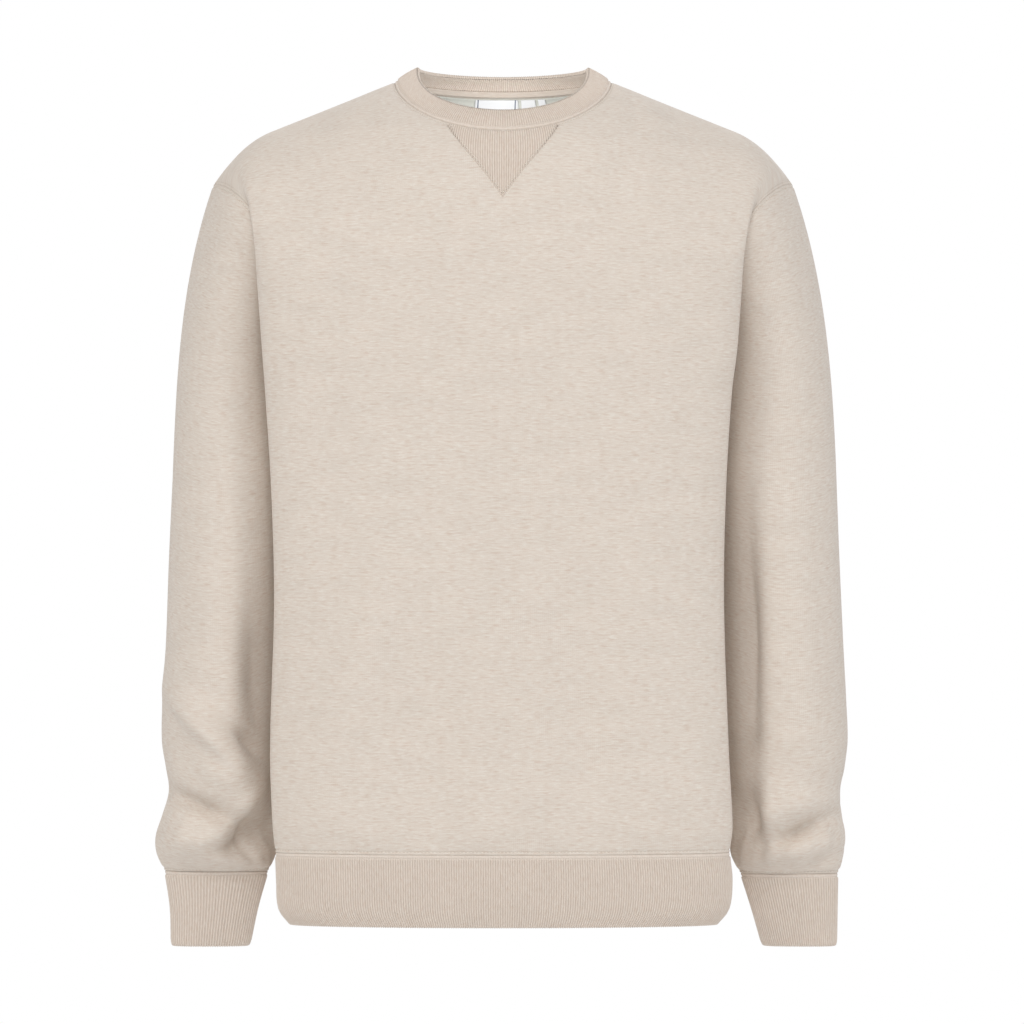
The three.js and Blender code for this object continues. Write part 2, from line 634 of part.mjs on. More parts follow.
// Normals for one sewn sheet. Where its cloth turns into a sharp tuck at the seam the two walls
// part on the inside, and there the sheet keeps its own normal.
function seamNormals(sheet, joint) {
  const own = sheetNormals([sheet]);
  return (point) => {
    const ownNormal = own(point);
    const shared = joint(point);
    return ownNormal.dot(shared) < TUCK_COSINE ? ownNormal : shared;
  };
}

// The sheet's points with each free rim drawn back by half a seam gap.
function drawnBack({ rows, closed }) {
  const towards = (point, next) => {
    const step = next.clone().sub(point).normalize().multiplyScalar(SEAM_GAP / 2);
    return point.clone().add(step);
  };
  const lastRow = rows.length - 1;
  const lastColumn = rows[0].length - 1;
  return rows.map((row, j) => row.map((point, i) => {
    let moved = point.clone();
    if (j === 0 || j === lastRow) {
      moved = towards(moved, rows[j === 0 ? 1 : lastRow - 1][i]);
    }
    if (!closed && (i === 0 || i === lastColumn)) {
      moved = towards(moved, rows[j][i === 0 ? 1 : lastColumn - 1]);
    }
    return moved;
  }));
}

// Closed wall from a sheet. The outer face may carry ribs, and the inner face is plain.
function wallGeometry(sheet, normals, { thickness, ribs = 0 }) {
  const rows = drawnBack(sheet);
  const { closed } = sheet;
  const columns = rows[0].length;
  const segments = closed ? columns : columns - 1;
  const split = ribs > 0 ? 2 * ribs : 1;
  const positions = [];
  const indices = [];
  const addPoint = (point) => positions.push(point.x, point.y, point.z) / 3 - 1;
  const rowNormals = sheet.rows.map((row) => row.map(normals));

  const outer = rows.map((row, j) => {
    const line = [];
    for (let i = 0; i < segments; i += 1) {
      const next = (i + 1) % columns;
      for (let k = 0; k < split; k += 1) {
        const normal = rowNormals[j][i].clone().lerp(rowNormals[j][next], k / split).normalize();
        const point = row[i].clone().lerp(row[next], k / split);
        line.push(addPoint(point.addScaledVector(normal, k % 2 === 1 ? RIB_HEIGHT : 0)));
      }
    }
    line.push(closed ? line[0] : addPoint(row[columns - 1]));
    return line;
  });
  const inner = rows.map((row, j) => {
    const line = row.map((point, i) => (
      addPoint(point.clone().addScaledVector(rowNormals[j][i], -thickness))
    ));
    return closed ? [...line, line[0]] : line;
  });

  for (let j = 0; j < rows.length - 1; j += 1) {
    for (let k = 0; k < segments * split; k += 1) {
      indices.push(outer[j][k], outer[j][k + 1], outer[j + 1][k + 1]);
      indices.push(outer[j][k], outer[j + 1][k + 1], outer[j + 1][k]);
    }
    for (let i = 0; i < segments; i += 1) {
      indices.push(inner[j][i], inner[j + 1][i + 1], inner[j][i + 1]);
      indices.push(inner[j][i], inner[j + 1][i], inner[j + 1][i + 1]);
    }
  }
  addRims(indices, outer, inner, segments, split, closed);

  const geometry = new THREE.BufferGeometry();
  geometry.setAttribute('position', new THREE.Float32BufferAttribute(positions, 3));
  geometry.setIndex(indices);
  geometry.computeVertexNormals();
  return geometry;
}

// Strips that close a wall between its outer and inner faces.
function addRims(indices, outer, inner, segments, split, closed) {
  const top = outer.length - 1;
  for (let i = 0; i < segments; i += 1) {
    const end = (i + 1) * split;
    indices.push(inner[0][i], inner[0][i + 1], outer[0][end]);
    indices.push(inner[top][i + 1], inner[top][i], outer[top][end]);
    for (let k = i * split; k < end; k += 1) {
      indices.push(outer[0][k + 1], outer[0][k], inner[0][i]);
      indices.push(outer[top][k], outer[top][k + 1], inner[top][i]);
    }
  }
  if (closed) {
    return;
  }
  const far = segments * split;
  for (let j = 0; j < top; j += 1) {
    indices.push(outer[j][0], outer[j + 1][0], inner[j + 1][0]);
    indices.push(outer[j][0], inner[j + 1][0], inner[j][0]);
    indices.push(outer[j][far], inner[j][segments], inner[j + 1][segments]);
    indices.push(outer[j][far], inner[j + 1][segments], outer[j + 1][far]);
  }
}

function clothMaterial(colour, roughness) {
  return new THREE.MeshStandardMaterial({ color: colour, roughness, metalness: 0 });
}

function wallMesh(name, sheet, normals, options, material) {
  const mesh = new THREE.Mesh(wallGeometry(sheet, normals, options), material);
  mesh.name = name;
  return mesh;
}

const fleece = clothMaterial(FLEECE_COLOUR, 0.95);
const rib = clothMaterial(RIB_COLOUR, 0.95);
const tape = clothMaterial(TAPE_COLOUR, 0.9);
const labelCloth = clothMaterial(LABEL_COLOUR, 0.7);

// Sheets that are sewn edge to edge, and so share their normals.
const sewn = {
  front_panel: panelSheet(FRONT),
  back_panel: panelSheet(BACK),
  sleeve_left: sleeveSheet(1),
  sleeve_right: sleeveSheet(-1),
  collar_rib: collarSheet(),
  cuff_left: cuffSheet(1),
  cuff_right: cuffSheet(-1),
  hem_rib: hemSheet(),
};
const sewnNormals = sheetNormals(Object.values(sewn));

const sweatshirt = new THREE.Group();
const fleeceWall = { thickness: FLEECE_WALL };
for (const name of ['front_panel', 'back_panel', 'sleeve_left', 'sleeve_right']) {
  const normals = seamNormals(sewn[name], sewnNormals);
  sweatshirt.add(wallMesh(name, sewn[name], normals, fleeceWall, fleece));
}
const bandRibs = {
  collar_rib: COLLAR_RIBS,
  cuff_left: CUFF_RIBS,
  cuff_right: CUFF_RIBS,
  hem_rib: HEM_RIBS,
};
for (const [name, ribs] of Object.entries(bandRibs)) {
  sweatshirt.add(wallMesh(name, sewn[name], sewnNormals, { thickness: BAND_WALL, ribs }, rib));
}

// Pieces laid on others have normals of their own.
const insert = insertSheet(sewn.front_panel, sewnNormals);
const insertWall = { thickness: INSERT_WALL, ribs: INSERT_RIBS };
sweatshirt.add(wallMesh('v_insert', insert, sheetNormals([insert]), insertWall, rib));

const neckTape = tapeSheet(sewn.collar_rib, sewnNormals);
sweatshirt.add(wallMesh('neck_tape', neckTape, sheetNormals([neckTape]), { thickness: TAPE_WALL }, tape));

for (const label of LABELS) {
  const sheet = labelSheet(label, sewn.back_panel, sewnNormals);
  const labelWall = { thickness: TAPE_WALL };
  sweatshirt.add(wallMesh(label.name, sheet, sheetNormals([sheet]), labelWall, labelCloth));
}

export default sweatshirt;
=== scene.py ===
"""Crewneck sweatshirt in heather fleece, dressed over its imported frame.

Every cloth piece is a fine sheet on the form of its solid. The tables of sections are in
millimetres, as in the pattern, and each sheet is turned into metres when it is made. Left and
right are the wearer's, so the left sleeve lies at +X, and the front faces -Y.
"""

import logging
import math
from collections.abc import Callable
from dataclasses import dataclass, field
from enum import Enum

import bmesh
import bpy
import numpy as np
from mathutils import Matrix, Vector


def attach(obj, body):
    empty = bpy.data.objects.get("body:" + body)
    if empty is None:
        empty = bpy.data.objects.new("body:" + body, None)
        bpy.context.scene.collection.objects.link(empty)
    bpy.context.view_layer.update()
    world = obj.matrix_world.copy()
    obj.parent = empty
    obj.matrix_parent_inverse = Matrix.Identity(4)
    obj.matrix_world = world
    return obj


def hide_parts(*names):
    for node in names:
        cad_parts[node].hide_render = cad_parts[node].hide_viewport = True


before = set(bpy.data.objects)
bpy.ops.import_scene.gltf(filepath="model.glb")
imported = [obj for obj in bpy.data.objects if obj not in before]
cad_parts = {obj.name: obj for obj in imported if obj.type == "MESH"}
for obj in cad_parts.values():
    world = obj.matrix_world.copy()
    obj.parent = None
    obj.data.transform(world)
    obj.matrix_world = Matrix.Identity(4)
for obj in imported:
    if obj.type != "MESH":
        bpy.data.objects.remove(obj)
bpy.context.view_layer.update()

log = logging.getLogger("sweatshirt")

MM = 0.001
BODY = "root"

Colour = tuple[float, float, float, float]
Ring = Callable[[np.ndarray, np.ndarray], np.ndarray]


class Face(Enum):
    """The two body panels, by the way they face along Y."""

    FRONT = -1
    BACK = 1


class Side(Enum):
    """The wearer's two sides, by their sign along X."""

    LEFT = 1
    RIGHT = -1


def hermite(t: np.ndarray, start: np.ndarray, end: np.ndarray, leave: np.ndarray,
            arrive: np.ndarray) -> np.ndarray:
    """Cubic between two values.

    Args:
        t: place on the curve, 0 to 1.
        start: value at 0.
        end: value at 1.
        leave: slope at 0.
        arrive: slope at 1.

    Returns:
        The values at t.
    """
    t2 = t * t
    t3 = t2 * t
    return ((2 * t3 - 3 * t2 + 1) * start + (t3 - 2 * t2 + t) * leave
            + (3 * t2 - 2 * t3) * end + (t3 - t2) * arrive)


class SizeTable:
    """Smooth curves through the columns of a short table of sizes."""

    def __init__(self, names: str, *rows: tuple[float, ...]) -> None:
        """Keeps the table.

        Args:
            names: column names, the key column first.
            rows: one row for each section, by rising key.
        """
        self.names = names.split()
        self.values = np.array(rows, dtype=float)
        self.keys = self.values[:, 0]

    def read(self, name: str, key: np.ndarray | float) -> np.ndarray:
        """Reads one column.

        Args:
            name: the column's name.
            key: where to read it.

        Returns:
            The column's value at each key.
        """
        keys = self.keys
        column = self.values[:, self.names.index(name)]
        before = np.maximum(np.arange(len(keys)) - 1, 0)
        after = np.minimum(np.arange(len(keys)) + 1, len(keys) - 1)
        slopes = (column[after] - column[before]) / (keys[after] - keys[before])
        place = np.clip(key, keys[0], keys[-1])
        i = np.clip(np.searchsorted(keys, place) - 1, 0, len(keys) - 2)
        step = keys[i + 1] - keys[i]
        return hermite((place - keys[i]) / step, column[i], column[i + 1], slopes[i] * step,
                       slopes[i + 1] * step)


@dataclass(frozen=True)
class Fold:
    """A soft ridge (height above 0) or trough in the cloth, in millimetres and degrees.

    "lean" turns it from upright, and "skew" makes one of its flanks steeper than the other.
    """

    x: float
    z: float
    lean: float
    length: float
    width: float
    height: float
    skew: float = 0.0

    def at(self, x: np.ndarray, z: np.ndarray) -> np.ndarray:
        """Height of the fold at points of the cloth.

        Args:
            x: places along X.
            z: places along Z.

        Returns:
            The height at each point.
        """
        lean = math.radians(self.lean)
        dx = x - self.x
        dz = z - self.z
        along = (dz * math.cos(lean) - dx * math.sin(lean)) / self.length
        across = dx * math.cos(lean) + dz * math.sin(lean)
        width = self.width * (1 + self.skew * np.sign(across))
        return self.height * np.exp(-along**2 - (across / width) ** 2)


def fold_height(folds: list[Fold], x: np.ndarray, z: np.ndarray) -> np.ndarray:
    """Sum of several folds.

    Args:
        folds: the folds of one face.
        x: places along X.
        z: places along Z.

    Returns:
        The height at each point.
    """
    total = np.zeros(np.broadcast(x, z).shape)
    for fold in folds:
        total = total + fold.at(x, z)
    return total


def points_of(x: np.ndarray, y: np.ndarray, z: np.ndarray) -> np.ndarray:
    """Stacks coordinates of any shapes that fit each other into points."""
    return np.stack(np.broadcast_arrays(x, y, z), axis=-1)


def unit(vectors: np.ndarray) -> np.ndarray:
    """Scales vectors to length 1."""
    return vectors / np.maximum(np.linalg.norm(vectors, axis=-1, keepdims=True), 1e-12)


def sheet_normals(points: np.ndarray, closed: bool) -> np.ndarray:
    """Outward normals of a sheet of points.

    Args:
        points: rows of columns of points.
        closed: whether the last column repeats the first.

    Returns:
        One normal for each point.
    """
    if closed:
        ring = np.concatenate([points[:, -2:-1], points, points[:, 1:2]], axis=1)
        across = ring[:, 2:] - ring[:, :-2]
    else:
        across = np.gradient(points, axis=1)
    up = np.gradient(points, axis=0)
    return unit(np.cross(across, up))


def arc_along(points: np.ndarray, axis: int) -> np.ndarray:
    """Length of cloth from the first point.

    Args:
        points: rows of columns of points.
        axis: 0 to measure down the rows, 1 along the columns.

    Returns:
        The length up to each point.
    """
    steps = np.linalg.norm(np.diff(points, axis=axis), axis=-1)
    lead = np.zeros_like(np.take(steps, [0], axis=axis))
    return np.cumsum(np.concatenate([lead, steps], axis=axis), axis=axis)


@dataclass
class BodyForm:
    """Shape of the body from the hem to the shoulders and the neck, in millimetres."""

    hem_edge: float = -703
    hem_seam: float = -643
    underarm: float = -262
    yoke: float = -170
    neck_half_width: float = 91
    neck_middle: dict[Face, tuple[float, float, float]] = field(default_factory=lambda: {
        Face.FRONT: (-95, -46, 1.15), Face.BACK: (58, -8, 1.5)})
    collar_half_width: float = 71
    collar_top: float = 12.6
    collar_swell: float = 1.2
    collar_middle: dict[Face, tuple[float, float, float]] = field(default_factory=lambda: {
        Face.FRONT: (-84, -28, 0.85), Face.BACK: (45, 8.2, 1)})
    shoulder_tip: float = 243
    shoulder_slope: float = 0.4
    shoulder_bend_from: float = 195
    shoulder_bend: float = 0.0107
    neck_at: float = 0.32
    ridge_at: float = 0.9
    underarm_share: float = 0.4
    blend_width: float = 0.14
    blend_steps: int = 13
    blend_from: float = 0.55
    fold_fade_top: float = 0.3
    fold_fade_hem: float = 0.04
    sections: SizeTable = field(default_factory=lambda: SizeTable(
        "z ridge_left ridge_right front_ridge_y front_y seam_x seam_y open_front open_back tuck"
        " back_ridge_x back_ridge_y back_y",
        (-703, 177, 176, -68, -113, 164, 3, 0, 0, 0, 176, 64, 98),
        (-690, 187, 185.5, -70, -115, 169, 3, 0, 0, 0, 184, 67, 99),
        (-666, 189.8, 187.5, -71, -116, 170, 4, 0, 0, 0, 186, 68, 100),
        (-643, 188, 188.5, -70, -115, 170, 4, 0, 0, 0, 186, 68, 99),
        (-622, 190, 190.5, -74, -119, 168, 5, 0, 0, 0, 189, 72, 103),
        (-558, 187, 192.8, -72, -118, 165, 8, 0, 0, 0, 187, 74, 100),
        (-434, 183, 189.5, -72, -120, 163, 8, 0, 0, 0, 184, 74, 96),
        (-340, 184.8, 192, -73, -121, 165, 8, 0, 0, 0, 186, 76, 98),
        (-262, 189.5, 196.8, -75, -123, 169, 6, 0, 0, 0, 190, 78, 102),
        (-225, 194, 199.5, -76, -124, 173, 6, 26, 26, 12, 192, 76, 104),
        (-170, 198, 203.5, -76, -124, 179, 6, 56, 52, 25, 195, 72, 106)))
    yokes: dict[Face, SizeTable] = field(default_factory=lambda: {
        Face.FRONT: SizeTable(
            "at leave_x leave_y leave_z arrive_x arrive_y arrive_z",
            (0, 0, -4, 120, 0, 45, 105),
            (0.32, -10, 0, 200, -110, 190, 60),
            (0.6, -2, -5, 190, 0, 190, 40),
            (0.9, 4, -60, 150, 10, 170, 5),
            (1, 40, -110, 150, 60, 220, 10)),
        Face.BACK: SizeTable(
            "at leave_x leave_y leave_z arrive_x arrive_y arrive_z",
            (0, 0, 10, 150, 0, -75, 110),
            (0.32, -10, 5, 200, -100, -200, 60),
            (0.6, -2, 5, 190, 0, -180, 35),
            (0.9, 6, 55, 150, 10, -160, 5),
            (1, 40, 90, 150, 60, -200, 10))})
    folds: dict[Face, list[Fold]] = field(default_factory=lambda: {
        Face.FRONT: [
            Fold(-118, -480, -19, 115, 28, 8),
            Fold(60, -530, 8, 110, 27, -6.5),
            Fold(-60, -560, -6, 90, 26, -6.5),
            Fold(-10, -300, 4, 120, 45, 1.2),
            Fold(120, -420, 6, 100, 26, 1.6),
            Fold(-150, -300, 6, 90, 18, -1.5),
            Fold(150, -600, 60, 40, 12, 1.6),
            Fold(-140, -605, -50, 36, 12, 1.4),
            Fold(196, -150, -8, 42, 10, 1.8),
            Fold(-196, -150, 8, 42, 12, 1.5),
        ],
        Face.BACK: [
            Fold(40, -420, -12, 130, 32, 8),
            Fold(-90, -520, 10, 110, 30, -7),
            Fold(108, -550, 14, 84, 22, 6),
            Fold(-30, -250, -5, 110, 36, 4),
            Fold(140, -270, 22, 78, 20, -5.5),
            Fold(-140, -255, -24, 84, 19, -6),
            Fold(-20, -600, 72, 70, 13, 4),
            Fold(-140, -400, -16, 70, 20, 4.5),
        ]})

    def _pick(self, face: Face, side: np.ndarray, z: np.ndarray) -> tuple[np.ndarray, ...]:
        """Ridge, centre and seam of a level section.

        Args:
            face: the panel.
            side: -1 or 1 for the half that a point is on.
            z: heights.

        Returns:
            The ridge's x and y, the centre line's y and the seam's y.
        """
        read = self.sections.read
        shut = z <= self.underarm
        if face is Face.FRONT:
            ridge_x = np.where(side > 0, read("ridge_left", z), read("ridge_right", z))
            opened = np.where(shut, 0, np.maximum(read("open_front", z), 0))
            return (ridge_x, read("front_ridge_y", z), read("front_y", z),
                    read("seam_y", z) - opened)
        opened = np.where(shut, 0, np.maximum(read("open_back", z), 0))
        ridge_x = read("back_ridge_x", z) + 0 * side
        return ridge_x, read("back_ridge_y", z), read("back_y", z), read("seam_y", z) + opened

    def section(self, face: Face, at: np.ndarray, z: np.ndarray) -> np.ndarray:
        """Points of level sections of one face.

        Args:
            face: the panel.
            at: signed place across the panel, 0 at the centre line and 1 at the seam.
            z: heights.

        Returns:
            The points.
        """
        side = np.where(at < 0, -1.0, 1.0)
        share = np.abs(at)
        ridge_x, ridge_y, centre_y, seam_y = self._pick(face, side, z)
        angle = math.pi / 2 * np.minimum(share / self.ridge_at, 1)
        arc_x = ridge_x * np.sin(angle)
        arc_y = ridge_y + (centre_y - ridge_y) * np.cos(angle)
        t = np.clip((share - self.ridge_at) / (1 - self.ridge_at), 0, 1)
        reach = seam_y - ridge_y
        lip_x = hermite(t, ridge_x, self.sections.read("seam_x", z), 0,
                        -self.sections.read("tuck", z))
        lip_y = hermite(t, ridge_y, seam_y, reach, 0.9 * reach)
        on_lip = share > self.ridge_at
        return points_of(side * np.where(on_lip, lip_x, arc_x), np.where(on_lip, lip_y, arc_y), z)

    def neck(self, face: Face, side: np.ndarray, share: np.ndarray) -> np.ndarray:
        """Points of the neck seam.

        Args:
            face: the panel.
            side: -1 or 1 for the half that a point is on.
            share: 0 at the centre line and 1 at the high shoulder point.

        Returns:
            The points.
        """
        y, z, roundness = self.neck_middle[face]
        angle = math.pi / 2 * share
        cosine = np.maximum(np.cos(angle), 0)
        return points_of(side * self.neck_half_width * np.sin(angle), y * cosine,
                         z * cosine**roundness)

    def shoulder(self, side: np.ndarray, share: np.ndarray) -> np.ndarray:
        """Points of the shoulder seam.

        Args:
            side: -1 or 1 for the half that a point is on.
            share: 0 at the neck and 1 at the shoulder tip.

        Returns:
            The points.
        """
        x = self.neck_half_width + (self.shoulder_tip - self.neck_half_width) * share
        bend = self.shoulder_bend * np.maximum(0, x - self.shoulder_bend_from) ** 2
        return points_of(side * x, 0.0,
                         -self.shoulder_slope * (x - self.neck_half_width) - bend)

    def top_edge(self, face: Face, at: np.ndarray) -> np.ndarray:
        """Points of a panel's top edge: half the neck, then the shoulder.

        Args:
            face: the panel.
            at: signed place across it.

        Returns:
            The points.
        """
        side = np.where(at < 0, -1.0, 1.0)
        share = np.abs(at)
        neck = self.neck(face, side, np.minimum(share / self.neck_at, 1))
        shoulder = self.shoulder(side, np.maximum(share - self.neck_at, 0) / (1 - self.neck_at))
        return np.where((share <= self.neck_at)[..., None], neck, shoulder)

    def soft_edge(self, face: Face, at: np.ndarray) -> np.ndarray:
        """Top edge with its corner at the neck eased, which the cloth below it follows.

        Args:
            face: the panel.
            at: signed place across it.

        Returns:
            The points.
        """
        width = self.blend_width * np.clip((1 - np.abs(at)) / self.blend_width, 0, 1)
        steps = np.linspace(-1, 1, self.blend_steps)
        weights = np.cos(steps * math.pi / 2.2) ** 2
        total = sum(weight * self.top_edge(face, at + step * width)
                    for step, weight in zip(steps, weights))
        return total / weights.sum()

    def panel(self, face: Face, at: np.ndarray, level: np.ndarray,
              folds: bool = True) -> np.ndarray:
        """Points of a body panel.

        Args:
            face: the panel.
            at: signed place across it.
            level: 0 at the hem seam, 1 at the yoke line and 2 at the top edge.
            folds: whether its folds are on it.

        Returns:
            The points.
        """
        at, level = np.broadcast_arrays(at, level)
        side = np.where(at < 0, -1.0, 1.0)
        share = np.abs(at)
        z = self.hem_seam + (self.yoke - self.hem_seam) * np.minimum(level, 1)
        low = self.section(face, at, z)
        t = np.clip(level - 1, 0, 1)
        near = np.clip((t - self.blend_from) / (1 - self.blend_from), 0, 1)
        near = (near * near * (3 - 2 * near))[..., None]
        top = self.soft_edge(face, at)
        top = top + (self.top_edge(face, at) - top) * near
        yoke = self.yokes[face]
        points = points_of(
            hermite(t, low[..., 0], top[..., 0], side * yoke.read("leave_x", share),
                    side * yoke.read("arrive_x", share)),
            hermite(t, low[..., 1], top[..., 1], yoke.read("leave_y", share),
                    yoke.read("arrive_y", share)),
            hermite(t, low[..., 2], top[..., 2], yoke.read("leave_z", share),
                    yoke.read("arrive_z", share)))
        if not folds:
            return points
        height = fold_height(self.folds[face], points[..., 0], points[..., 2])
        fade = (np.clip((1 - share) / (1 - self.ridge_at), 0, 1)
                * np.clip((2 - level) / self.fold_fade_top, 0, 1)
                * np.clip(level / self.fold_fade_hem, 0, 1))
        points[..., 1] += face.value * height * fade
        return points

    def collar(self, face: Face, at: np.ndarray, rise: np.ndarray) -> np.ndarray:
        """Points of the collar.

        Args:
            face: the half of the ring.
            at: signed share of the way from the centre line to the high shoulder point.
            rise: share of the collar's height above the neck seam.

        Returns:
            The points.
        """
        side = np.where(at < 0, -1.0, 1.0)
        angle = math.pi / 2 * np.abs(at)
        cosine = np.maximum(np.cos(angle), 0)
        y, z, roundness = self.collar_middle[face]
        seam = self.neck(face, side, np.abs(at))
        top = points_of(side * self.collar_half_width * np.sin(angle), y * cosine,
                        self.collar_top - (self.collar_top - z) * cosine**roundness)
        outward = unit(points_of(side * np.sin(angle), face.value * cosine, 0.3))
        swell = self.collar_swell * np.sin(math.pi * rise)
        return seam + (top - seam) * rise[..., None] + outward * swell[..., None]

    def hem(self, face: Face, at: np.ndarray, rise: np.ndarray) -> np.ndarray:
        """Points of the hem band, from its seam at rise 0 to its open edge at 1."""
        return self.section(face, at, self.hem_seam + (self.hem_edge - self.hem_seam) * rise)

    def armhole_level(self, share: np.ndarray) -> np.ndarray:
        """Level of an armhole point.

        Args:
            share: 0 at the underarm and 1 at the shoulder tip.

        Returns:
            The level at each share.
        """
        low = (self.underarm - self.hem_seam) / (self.yoke - self.hem_seam)
        return np.where(share < self.underarm_share,
                        low + (1 - low) * share / self.underarm_share,
                        1 + (share - self.underarm_share) / (1 - self.underarm_share))


def sleeve_table(*rows: tuple[float, ...]) -> SizeTable:
    """Table of the sections of a sleeve or a cuff."""
    return SizeTable("z outer inner front back", *rows)


@dataclass
class SleeveForm:
    """Shape of one sleeve and its cuff, in millimetres."""

    side: Side
    body: BodyForm
    sections: SizeTable
    cuff: SizeTable
    front_folds: list[Fold]
    back_folds: list[Fold]
    leave_underarm: tuple[float, float, float] = (30, 0, -50)
    leave_side: tuple[float, float, float] = (80, 46, -70)
    leave_tip: tuple[float, float, float] = (85, 0, -240)
    arrive_inner: tuple[float, float, float] = (2, 0, -60)
    arrive_outer: tuple[float, float, float] = (8, 0, -240)
    pucker_height: float = 0.9
    pucker_reach: float = 20
    pucker_waves: tuple[int, int] = (11, 17)
    cuff_draw: float = 0.035
    cuff_draw_from: float = 0.9

    def angle(self, turn: np.ndarray) -> np.ndarray:
        """Direction of a column, which starts at the underarm and runs counter-clockwise."""
        start = math.pi if self.side is Side.LEFT else 0
        return start + 2 * math.pi * turn

    def oval(self, table: SizeTable, turn: np.ndarray, z: np.ndarray,
             folds: bool) -> np.ndarray:
        """Points of level rings.

        Args:
            table: sections of the sleeve or its cuff.
            turn: share of the way round.
            z: heights.
            folds: whether the sleeve's folds and puckers are on it.

        Returns:
            The points.
        """
        outer, inner = table.read("outer", z), table.read("inner", z)
        front, back = table.read("front", z), table.read("back", z)
        cosine, sine = np.cos(self.angle(turn)), np.sin(self.angle(turn))
        half_width, half_depth = (outer - inner) / 2, (back - front) / 2
        x = self.side.value * (outer + inner) / 2 + half_width * cosine
        rise = np.zeros(np.broadcast(x, z).shape)
        if folds:
            swing = np.sqrt(np.abs(sine))
            front_rise = fold_height(self.front_folds, x, z)
            back_rise = fold_height(self.back_folds, x, z)
            rise = np.where(sine < 0, front_rise, back_rise) * swing
            above = (z - self.sections.keys[0]) / self.pucker_reach
            first, second = self.pucker_waves
            wave = np.sin(first * 2 * math.pi * turn + 1) + np.sin(second * 2 * math.pi * turn)
            rise = rise + self.pucker_height * wave * above * np.exp(1 - above) / 2
        return points_of(x + rise * cosine, (front + back) / 2 + (half_depth + rise) * sine, z)

    def armhole(self, turn: np.ndarray) -> np.ndarray:
        """Seam points of the armhole on the edges of both panels.

        Args:
            turn: share of the way round.

        Returns:
            The points.
        """
        rising, falling = ((Face.FRONT, Face.BACK) if self.side is Side.LEFT
                           else (Face.BACK, Face.FRONT))
        up = turn <= 0.5
        share = np.where(up, 2 * turn, 2 - 2 * turn)
        level = self.body.armhole_level(share)
        edge = np.full_like(level, float(self.side.value))
        return np.where(up[..., None], self.body.panel(rising, edge, level),
                        self.body.panel(falling, edge, level))

    def cap(self, turn: np.ndarray, t: np.ndarray, folds: bool = True) -> np.ndarray:
        """Points between the armhole and the first full ring.

        Args:
            turn: share of the way round.
            t: 0 at the armhole and 1 at the ring.
            folds: whether the sleeve's folds are on the ring.

        Returns:
            The points.
        """
        seam = self.armhole(turn)
        ring = self.oval(self.sections, turn, self.sections.keys[-1] + 0 * turn, folds)
        angle = math.pi + 2 * math.pi * turn
        outer_share = ((1 + np.cos(angle)) / 2)[..., None]
        side_share = (np.sin(angle) ** 2)[..., None]
        underarm, tip = np.array(self.leave_underarm), np.array(self.leave_tip)
        leave = underarm + (tip - underarm) * outer_share
        leave = leave + (np.array(self.leave_side) - leave) * side_share
        inner, outer = np.array(self.arrive_inner), np.array(self.arrive_outer)
        arrive = inner + (outer - inner) * outer_share
        mirror = np.stack([np.full(turn.shape, float(self.side.value)),
                           -np.sign(seam[..., 1]), np.ones(turn.shape)], axis=-1)
        return hermite(t[..., None], seam, ring, leave * mirror, arrive * mirror)

    def cuff_ring(self, turn: np.ndarray, rise: np.ndarray) -> np.ndarray:
        """Points of the cuff, whose open end is drawn in a little.

        Args:
            turn: share of the way round.
            rise: 0 at the seam and 1 at the open edge.

        Returns:
            The points.
        """
        top, bottom = self.cuff.keys[-1], self.cuff.keys[0]
        z = top + (bottom - top) * rise
        points = self.oval(self.cuff, turn, z, False)
        middle = (points + self.oval(self.cuff, turn + 0.5, z, False)) / 2
        share = np.clip((rise - self.cuff_draw_from) / (1 - self.cuff_draw_from), 0, 1)
        return points + (middle - points) * (self.cuff_draw * share**2)[..., None]


def finished_mesh(shape: bmesh.types.BMesh, name: str) -> bpy.types.Mesh:
    """Turns a finished shape into a mesh.

    Args:
        shape: the shape, which is freed.
        name: the mesh's name.

    Returns:
        The new mesh.
    """
    mesh = bpy.data.meshes.new(name)
    shape.to_mesh(mesh)
    shape.free()
    return mesh


def add_object(name: str, data: bpy.types.ID) -> bpy.types.Object:
    """Adds an object to the scene.

    Args:
        name: its name.
        data: its mesh, lamp or camera.

    Returns:
        The object.
    """
    made = bpy.data.objects.new(name, data)
    bpy.context.scene.collection.objects.link(made)
    return made


def grid_sheet(name: str, points: np.ndarray, cloth_uv: np.ndarray, closed: bool,
               values: dict[str, np.ndarray] | None = None) -> bpy.types.Object:
    """Makes a cloth piece from a sheet of points.

    Args:
        name: the piece's name.
        points: rows of columns of points, in millimetres.
        cloth_uv: place of each point on the flat cloth, in millimetres.
        closed: whether the last column repeats the first.
        values: further values of each point by name, such as its distance from a seam.

    Returns:
        The new object.
    """
    rows, columns = points.shape[:2]
    shell = bmesh.new()
    bmesh.ops.create_grid(shell, x_segments=columns - 1, y_segments=rows - 1, size=0.5)
    mesh = finished_mesh(shell, name)
    mesh.vertices.foreach_set("co", (points * MM).astype(np.float32).ravel())
    corners = np.empty(len(mesh.loops), dtype=np.int32)
    mesh.loops.foreach_get("vertex_index", corners)
    layer = mesh.uv_layers.new(name="cloth")
    places = cloth_uv.reshape(-1, 2)[corners] * MM
    layer.uv.foreach_set("vector", places.astype(np.float32).ravel())
    for key, value in (values or {}).items():
        attribute = mesh.attributes.new(key, "FLOAT", "POINT")
        attribute.data.foreach_set("value", value.astype(np.float32).ravel())
    mesh.update()
    if closed:
        weld = bmesh.new()
        weld.from_mesh(mesh)
        bmesh.ops.remove_doubles(weld, verts=weld.verts, dist=1e-6)
        weld.to_mesh(mesh)
        weld.free()
    mesh.shade_smooth()
    return add_object(name, mesh)


